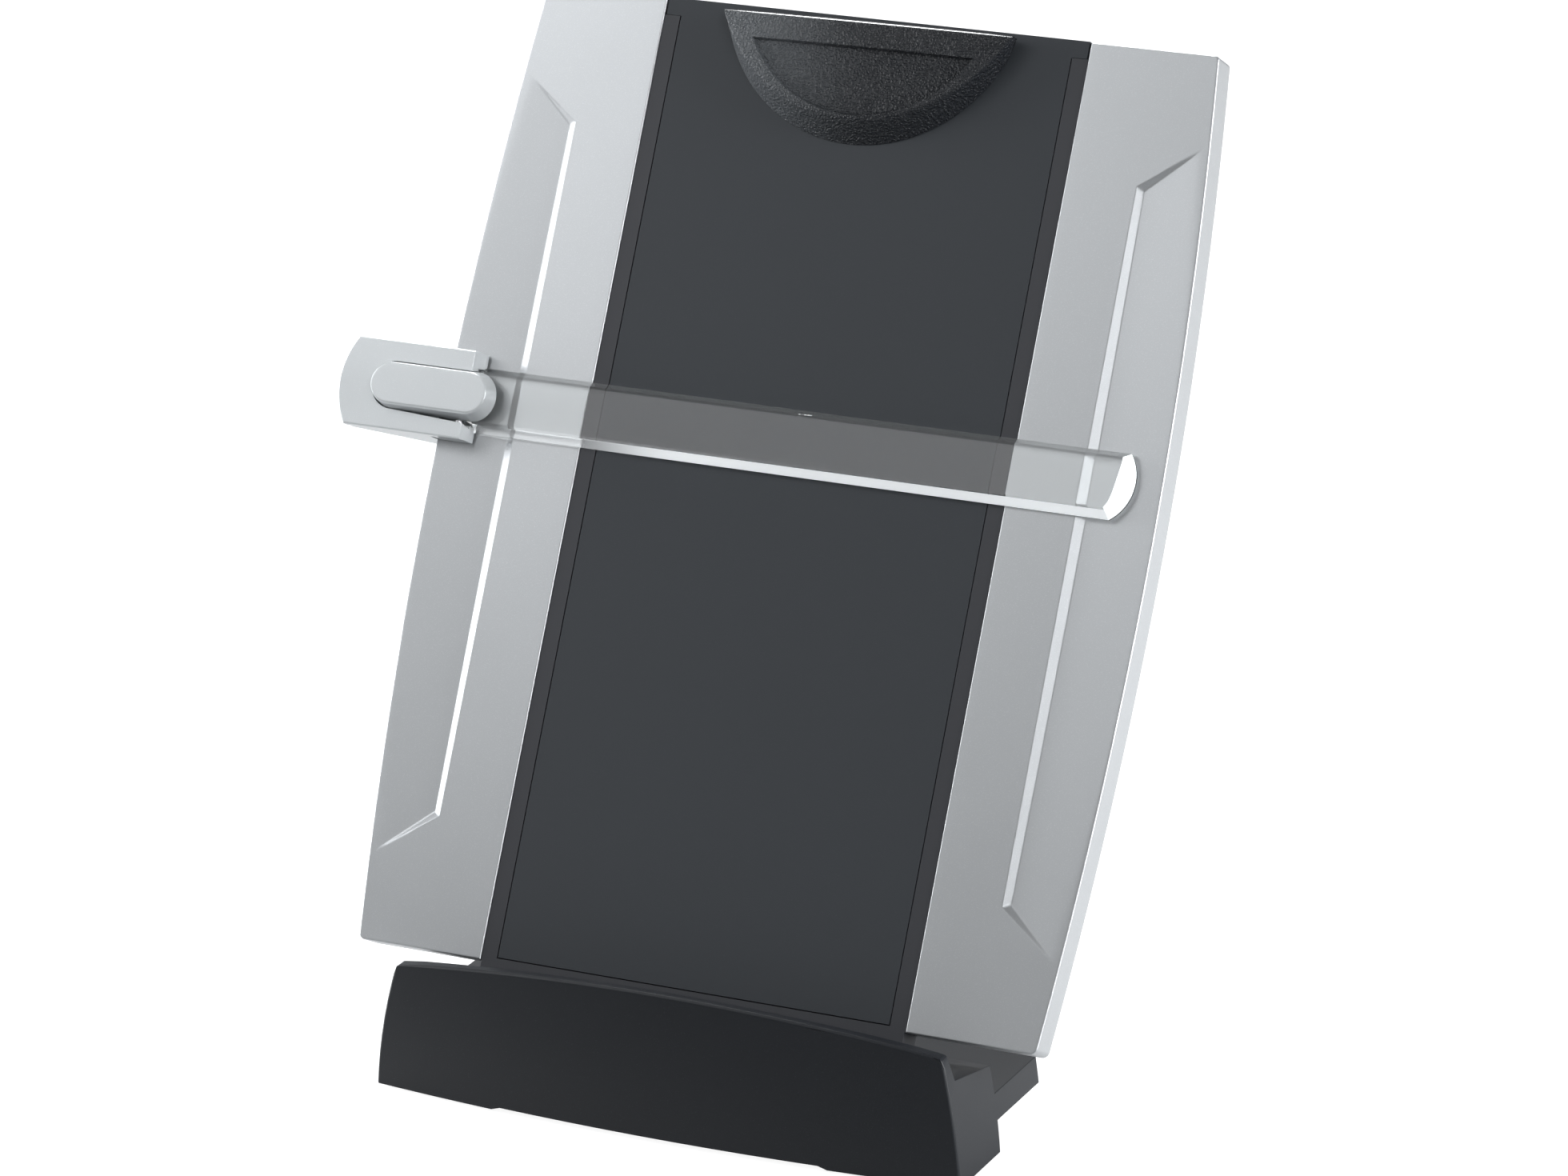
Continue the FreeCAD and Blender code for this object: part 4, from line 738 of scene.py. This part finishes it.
# %% [markdown]
# ## The pill and its spring lever
# The thumb piece is a pill with drafted walls and a softly rounded top.  Under
# it sit two small hubs on the pin.  The pill is again a stack of outlines; its
# flat underside ends where the ruler's tab passes under it.

# %% Pill
PILL_S0, PILL_S1, PILL_HALF, PILL_N, PILL_DRAFT = -140.7, -100.7, 6.6, 12.0, tan(radians(10.0))
HINGE_S, HINGE_N = -112.0, 3.6


def pill_ring(grow, n, count=36):
    """Two half circles joined by straight runs, grown by a wall's draft,
    which is less at the two ends than along the sides."""
    r, e = PILL_HALF + grow, PILL_HALF + 0.4 * grow
    a = np.linspace(-pi / 2, pi / 2, count)
    s = np.concatenate([PILL_S1 - PILL_HALF + e * np.cos(a), PILL_S0 + PILL_HALF - e * np.cos(a)])
    v = GRIP_V + np.concatenate([r * np.sin(a), -r * np.sin(a)])
    return on_board(s, v, n + 0 * s)


def pill():
    under, edge = 5.05, 0.75
    stack = [pill_ring(1.0, under)]
    stack += [pill_ring((PILL_N - n) * PILL_DRAFT, n) for n in (under, 6.0, 8.0, 10.0, 11.2)]
    for a in np.linspace(0.15, pi / 2, 8):
        drop = edge - edge * np.sin(a)
        stack.append(pill_ring(-edge * (1 - np.cos(a)) + drop * PILL_DRAFT, PILL_N - drop))
    stack += [pill_ring(-2.0, PILL_N), pill_ring(-4.5, PILL_N)]
    return rings("thumb_pill", np.stack(stack), silver_gloss, "guide", ["press_lever"])


pill()


# %% Hubs
def rod(name, start, end, radius, material, body, count=32, ease=0.15):
    """Rod with eased rims between two points (s, v, n) of the board frame:
    circles of the radius around the line, the first and last drawn in."""
    start, end = np.array(start, float), np.array(end, float)
    along = (end - start) / np.linalg.norm(end - start)
    side = np.cross(along, (0.0, 0.0, 1.0))
    side /= np.linalg.norm(side)
    other = np.cross(along, side)
    a = np.linspace(0, 2 * pi, count, endpoint=False)[:, None]
    circle = np.cos(a) * side + np.sin(a) * other
    stack = [on_board(*(centre + r * circle).T) for centre, r in (
        (start, radius - ease), (start + along * ease, radius),
        (end - along * ease, radius), (end, radius - ease))]
    rings(name, np.stack(stack), material, body)


HUB_R, HUB_IN, HUB_OUT = 2.75, 3.2, 7.5
for label, side in (("upper", 1), ("lower", -1)):
    ends = [(HINGE_S, GRIP_V + side * d, HINGE_N) for d in (HUB_IN, HUB_OUT)]
    rod("lever_hub_" + label, *ends, HUB_R, silver_gloss, "guide")

# %% [markdown]
# ## Eased edges on the moulded housings
# The base and the clamp already have their true forms as solids; what a
# moulding has besides is a small radius on every outside edge, and that is
# what draws the thin lines of light.  A copy of the solid's mesh is merged,
# its flat areas are joined into single faces, and only its outside edges are
# bevelled.  The Bevel modifier would treat every edge alike, so the edges are
# picked here by rule and bevelled with bmesh.

# %% Eased copies
SHARP, FLAT = radians(24), radians(0.4)


def eased(name, node_name, material, body, width, keep, reshape=None, cuts=(), clamp=True):
    """Copy of a solid with its convex edges rounded where keep(middle, length)
    says so; cuts lays extra edges in world planes (axis, millimetres), and
    reshape then moves the copy's points in the board frame.  A clamped width
    is as small as the shortest edges ask for."""
    me = nodes[node_name].data.copy()
    me.name = name
    if cuts:
        bm = merged(me)
        for axis, at in cuts:
            across = Vector(np.eye(3)[axis])
            bmesh.ops.bisect_plane(bm, geom=bm.verts[:] + bm.edges[:] + bm.faces[:], dist=1e-7,
                                   plane_co=across * (at * MM), plane_no=across)
        written(bm, me)
    if reshape:
        flat = np.empty(len(me.vertices) * 3)
        me.vertices.foreach_get("co", flat)
        moved = reshape(off_board(flat.reshape(-1, 3)))
        me.vertices.foreach_set("co", on_board(*moved.T).ravel())
    bm = merged(me)
    bmesh.ops.dissolve_degenerate(bm, edges=bm.edges, dist=SLIVER)
    bmesh.ops.dissolve_limit(bm, angle_limit=FLAT, verts=bm.verts, edges=bm.edges,
                             use_dissolve_boundaries=False)
    picked = [e for e in bm.edges
              if len(e.link_faces) == 2 and e.is_convex and e.calc_face_angle(0) > SHARP
              and keep((e.verts[0].co + e.verts[1].co) / (2 * MM), e.calc_length() / MM)]
    bmesh.ops.bevel(bm, geom=picked, offset=width * MM, offset_type="OFFSET", segments=2, profile=0.5,
                    affect="EDGES", clamp_overlap=clamp)
    bmesh.ops.remove_doubles(bm, verts=bm.verts, dist=SLIVER)
    open_edges = written(bm, me)
    print("%s: %d edges eased, %d open" % (name, len(picked), open_edges))
    settle(name, me, material, body, [node_name], SHARP)


# %% [markdown]
# ## The base
# The base is one black moulding: a bowed lip in front, a trough behind it and
# a block with the socket.  The lip's two upper corners are rounder than the
# solid's, so the copy gets a few more edges there, and a function then pulls
# its points round.  Those edges are very short, and a clamped bevel would
# shrink every radius to nothing, so this one isn't clamped.

# %% Base
END_TOP, LIP_END_Z, CORNER_R = 90.7, 40.9, 2.0
LIP_REAR, LIP_ONLY, BLOCK_REAR = -12.5, -5.0, 18.2
FLOOR_Z, FLOOR_SLOPE, FLOOR_RISE, RISE_FROM = 31.9, 0.1205, 1.5, 80.0


def base_outside(p, length):
    """Edges of the lip, ends, ledge and tail; not the socket's or the underside's."""
    return p.z > 2.5 and not (abs(p.x) < 74 and -8 < p.y < 30) and length > 0.3


def base_shape(q):
    """The lip's two upper corners are round: beyond a corner's own middle a
    point is drawn in to the radius.  The trough's floor rises a little at
    the ends, most of all behind the lip."""
    x, y, z = (on_board(*q.T) / MM).T
    dx = np.abs(x) - (END_TOP + 0.15 * (LIP_END_Z - z) - CORNER_R)
    dz = z - (LIP_END_Z - CORNER_R)
    far = np.hypot(dx, dz)
    round_off = (y < LIP_ONLY) & (dx > 0) & (dz > 0) & (far > CORNER_R)
    less = np.where(round_off, 1 - CORNER_R / np.maximum(far, 1e-6), 0.0)
    floor_z = FLOOR_Z - FLOOR_SLOPE * (y - LIP_REAR)
    on_floor = (np.abs(z - floor_z) < 0.25) & (np.abs(x) > RISE_FROM + 0.5) & (y < BLOCK_REAR - 0.2)
    rise = np.where(on_floor, FLOOR_RISE * (BLOCK_REAR - y) / 25.0, 0)
    return off_board(np.stack([x - np.sign(x) * dx * less, y, z - dz * less + rise], -1) * MM)


corner_cuts = [(0, side * x) for side in (-1, 1) for x in (RISE_FROM, 88.9, 89.5, 90.1, 90.5)]
corner_cuts += [(2, z) for z in (38.95, 39.6, 40.2, 40.6)]
eased("base_housing", "base_shell", black, "base", 0.25, base_outside, reshape=base_shape, cuts=corner_cuts,
      clamp=False)


# %% [markdown]
# ## The clamp
# A front plate with a notch for the pill and a wedge behind it ride on the
# rail.  The notch's wall leans as the pill's does.  Here too the solid's own
# points are moved, since all other faces of the plate are right as they are.

# %% Clamp
def in_board(p):
    """A middle point (a Vector in millimetres) as (s, v, n)."""
    return off_board(np.array([[p.x, p.y, p.z]]) * MM)[0]


PRONG_FOOT, PRONG_END, PRONG_SLOPE = -110.0, -107.5, 0.55


def grip_shape(q):
    """The notch follows the pill's draft more closely, and the prongs' ends
    slope by less: each point is shifted by its height over the board."""
    s, v, n = q.T
    mid = PILL_S0 + PILL_HALF - 0.4
    ds, dv = np.minimum(s - mid, 0.0), v - GRIP_V
    r = np.hypot(ds, dv)
    wall = (r > 7.0) & (r < 11.2) & (s > mid - 9.0) & (n > 4.5)
    k = np.where(wall, 1 - np.interp(n, (4.8, 8.0), (0.40, 0.95)) / np.maximum(r, 1e-6), 1.0)
    end = (s > PRONG_FOOT) & (np.abs(dv) > 7.0)
    s = np.where(end, PRONG_END - (PRONG_END - s) * PRONG_SLOPE, np.where(s < mid, mid + ds * k, s))
    return np.stack([s, GRIP_V + dv * k, n], -1)


def grip_edges(p, length):
    s, v, n = in_board(p)
    return length > 0.25 and (n > 7.3 or (s > -110.5 and n > 0.6))


eased("grip_plate", "holder_front", silver_gloss, "clamp", 0.22, grip_edges, reshape=grip_shape)
eased("grip_wedge", "holder_back", silver_gloss, "clamp", 0.3,
      lambda p, length: length > 2.0 and in_board(p)[0] < -116.0 and in_board(p)[2] < 4.0)

# %% [markdown]
# ## Frame and sheet
# The black centre is a tray, and the matt sheet is let into it.  The joint
# between them is a hairline, which only shows as one when both edges are
# eased and a little air is left, so the sheet's copy is drawn in by a fifth
# of a millimetre before its edges are rounded.

# %% Frame and sheet
eased("centre_tray", "centre_frame", frame_black, "board", 0.25,
      lambda p, length: length > 1.0 and in_board(p)[2] > -0.6)


def sheet_shape(q):
    """Drawn in sideways by 0.2, and from below by the same."""
    s, v, n = q.T
    return np.stack([s - 0.2 * np.sign(s), v + np.where(v < 20, 0.2, 0.0), n], -1)


eased("inlaid_sheet", "panel_insert", sheet, "board", 0.2,
      lambda p, length: length > 1.0 and in_board(p)[2] > -0.6, reshape=sheet_shape)

# %% [markdown]
# ## Screws with a cross recess
# Eight screws close the board, three the base and four the clamp.  Each head
# is a low pan with a cross driven into it.  In polar terms the cross is a
# radius that depends on the angle: its half width over the sine or cosine,
# whichever is smaller, but no more than the reach of its arms.

# %% Screws
def cross_radius(a, half, reach):
    """Radius of a cross: half width over the smaller of |sin| and |cos|, at
    most its reach."""
    return np.minimum(reach, half / np.maximum(np.minimum(np.abs(np.sin(a)), np.abs(np.cos(a))), 1e-3))


def screw_piece(name, places, body, node_name, world=False):
    """All screws of one place; each is (x, y, z of the head's face, length)."""
    half, reach, head, shank, tip = 0.34, 1.45, 2.3, 1.05, 0.7
    corner = np.arcsin(half / reach)
    between = 0.5 * (corner + pi / 4)
    arm = np.array([-corner, 0.0, corner, between, pi / 4, pi / 2 - between])
    a = np.concatenate([k * pi / 2 + arm for k in range(4)])
    cross = cross_radius(a, half, reach)
    rows = [(0.02, 1.0), (cross_radius(a, half * 0.55, reach * 0.6), 0.95), (cross, 0.04),
            (cross + 0.06, 0.0), (head - 0.35, 0.0), (head - 0.1, 0.10), (head, 0.32), (head, 1.15),
            (shank, 1.15)]
    count, levels = len(a), len(rows) + 2
    points, faces = [], []
    for x, y, z, length in places:
        start = len(points) * count
        last = start + (levels - 1) * count
        for r, deep in rows + [(shank, length - 0.35), (tip, length)]:
            q = x + r * np.cos(a), y + r * np.sin(a), z + deep + 0 * a
            points.append(np.stack(q, -1) * MM if world else on_board(*q))
        faces += ring_faces(levels, count, start)
        faces += [list(range(start, start + count)), list(range(last, last + count))]
    make_mesh(name, np.stack(points), faces, steel, body, [node_name], sharp=40.0)


cover_at = [(side * x, y) for side in (-1, 1) for x, y in ((91.5, 17.0), (91.5, 287.4), (80.0, 138.6))]
cover_at += [(0, 66.0), (0, 232.7)]
base_at = (-88.4, 6.0), (88.4, 6.0), (0.0, 78.0)
clamp_at = [(-136.0, GRIP_V + d, -7.35, 12.0) for d in (-10.8, 10.8)]
clamp_at += [(-101.0, y, -13.0, 6.0) for y in (164.35, 178.35)]
screw_piece("cover_screw_set", [(x, y, -BOARD_T, 6.0) for x, y in cover_at], "board", "cover_screws")
screw_piece("base_screw_set", [(x, y, 1.0, 9.0) for x, y in base_at], "base", "base_screws", world=True)
screw_piece("clamp_screw_set", clamp_at, "clamp", "clamp_screws")

# %% [markdown]
# ## Springs
# Two small torsion springs close the clip and the lever.  A spring is a
# circle carried along a helix.  The helix gives the centre line and its own
# frame: one direction points out from the axis, the other is their product
# with the tangent, so the tube never twists.

# %% Springs
def coil(name, start, axis, length, radius, wire, turns, body, node_name, count=10):
    """Helix of the given turns round an axis of the board frame, a circle carried along it."""
    start, axis = np.array(start, float), np.array(axis, float)
    out0 = np.array((0.0, 0.0, 1.0))
    out1 = np.cross(axis, out0)
    t = np.linspace(0, 1, int(turns * 24) + 1)[:, None]
    a = 2 * pi * turns * t
    out = np.cos(a) * out0 + np.sin(a) * out1
    centre = start + axis * (wire + (length - 2 * wire) * t) + radius * out
    run = axis * length + 2 * pi * turns * radius * (np.cos(a) * out1 - np.sin(a) * out0)
    run /= np.linalg.norm(run, axis=1, keepdims=True)
    over = np.cross(run, out)
    b = np.linspace(0, 2 * pi, count, endpoint=False)[None, :, None]
    tube = centre[:, None] + wire * (np.cos(b) * out[:, None] + np.sin(b) * over[:, None])
    rings(name, on_board(*np.moveaxis(tube, -1, 0)), steel, body, [node_name])


coil("clip_torsion_spring", (-2.5, 297.6, 3.4), (1, 0, 0), 5.0, 1.55, 0.33, 6, "board", "clip_spring")
coil("lever_torsion_spring", (HINGE_S, GRIP_V - 1.8, HINGE_N), (0, 1, 0), 3.6, 1.5, 0.28, 5, "clamp",
     "lever_spring")

# %% [markdown]
# ## Studio
# A pale seamless floor and eight soft boxes.  The key box and the wide box stand
# in front on the left, where the board's face mirrors them, and the fill box
# beside them lifts the left wing and the clamp.  Boxes at the left, behind it
# on the left, at the right and in front on the right light the bevels that
# face them, and one high behind draws the line along the clip's upper edge.
# The floor shows as white to the camera and through the ruler.  To glossy rays
# it is dim in front and bright behind and at the left, as a sweep of paper lit
# from there is, while its diffuse part still carries the shadow.  The world
# goes on in the same way beyond the floor.

# %% Seen and mirrored
def clear_view(tree, path):
    """1 where the camera looks straight on or once through the ruler.  Light
    that passed the ruler, left a face and passed it again counts by less."""
    fresh = ramp(tree, path["Transmission Depth"], 2.0, 3.0, 1.0, 0.35, "LINEAR")
    through = calc(tree, "MULTIPLY", fresh, path["Is Transmission Ray"])
    return calc(tree, "MAXIMUM", path["Is Camera Ray"], through)


def by_depth(tree, vector, low, high, dim, bright, slant=0.0):
    """A value that rises from dim to bright as Y plus slant times X of a
    vector goes from low to high."""
    parts = node(tree, "SeparateXYZ", {0: vector}).outputs
    return ramp(tree, calc(tree, "MULTIPLY_ADD", parts["X"], slant, parts["Y"]), low, high, dim, bright)


def by_ray(tree, plain, glossy, seen):
    """One shader for diffuse rays, one for glossy rays and one for the view."""
    path = node(tree, "LightPath").outputs
    first = node(tree, "MixShader", {0: path["Is Glossy Ray"], 1: plain, 2: glossy}).outputs[0]
    return node(tree, "MixShader", {0: clear_view(tree, path), 1: first, 2: seen}).outputs[0]


# %% Floor
FLOOR_HALF = 6.0
floor_white = bpy.data.materials.new("floor_white")
floor_white.use_nodes = True
t = floor_white.node_tree
t.nodes.remove(t.nodes["Principled BSDF"])
matt = node(t, "BsdfDiffuse", {"Color": (0.34, 0.345, 0.35, 1)}).outputs[0]
sheen = by_depth(t, node(t, "NewGeometry").outputs["Position"], -0.12, 0.06, 0.07, 0.75, slant=-0.35)
glows = [node(t, "Emission", {"Strength": strength}).outputs[0] for strength in (0.0, sheen, 0.92)]
both = node(t, "AddShader", {0: matt, 1: by_ray(t, *glows)}).outputs[0]
feed(t, t.nodes["Material Output"], {"Surface": both})

me = bpy.data.meshes.new("floor")
corners = [(x * FLOOR_HALF, y * FLOOR_HALF, 0) for x, y in ((-1, -1), (1, -1), (1, 1), (-1, 1))]
me.from_pydata(corners, [], [(0, 1, 2, 3)])
me.materials.append(floor_white)
floor = bpy.data.objects.new("floor", me)
bpy.context.collection.objects.link(floor)
print("floor:", floor_white.name)

# %% World
world = bpy.data.worlds.new("studio")
bpy.context.scene.world = world
world.use_nodes = True
t = world.node_tree
t.nodes.clear()
mirrored = by_depth(t, node(t, "TexCoord").outputs["Generated"], -0.5, 0.8, 0.15, 0.28)
skies = [node(t, "Background", {"Color": color, "Strength": strength}).outputs[0] for color, strength in (
    ((0.95, 0.98, 1.0, 1), 0.22), ((1, 1, 1, 1), mirrored), ((1, 1, 1, 1), 1.0))]
feed(t, node(t, "OutputWorld"), {"Surface": by_ray(t, *skies)})
print("world:", world.name)


# %% Lamps
def soft_lamp(name, at, aim, size, watts):
    """Square area lamp at a place, turned to face another."""
    data = bpy.data.lights.new(name, "AREA")
    data.shape = "SQUARE"
    data.size = size
    data.energy = watts
    data.color = (0.97, 0.985, 1.0)
    ob = bpy.data.objects.new(name, data)
    turn = (Vector(aim) - Vector(at)).to_track_quat("-Z", "Y")
    ob.matrix_world = Matrix.Translation(at) @ turn.to_matrix().to_4x4()
    bpy.context.collection.objects.link(ob)


MIDDLE = (0.0, 0.06, 0.17)
soft_lamp("key_box", (-0.30, -0.24, 0.78), (-0.02, 0.12, 0.28), 0.32, 0.30)
soft_lamp("wide_box", (-0.46, -0.60, 0.86), (-0.03, 0.10, 0.22), 0.72, 1.65)
soft_lamp("fill_box", (-0.74, -0.40, 0.74), (-0.08, 0.10, 0.27), 0.35, 1.25)
soft_lamp("right_box", (1.5, 0.16, 0.48), MIDDLE, 0.9, 31.0)
soft_lamp("front_box", (1.33, -1.44, 1.40), MIDDLE, 0.7, 10.0)
soft_lamp("left_box", (-1.4, 0.08, 0.22), MIDDLE, 0.95, 25.0)
soft_lamp("left_rear_box", (-1.2, 0.75, 0.22), MIDDLE, 0.6, 11.0)
soft_lamp("rear_box", (-0.51, 0.79, 1.31), (0.0, 0.13, 0.30), 0.35, 14.0)
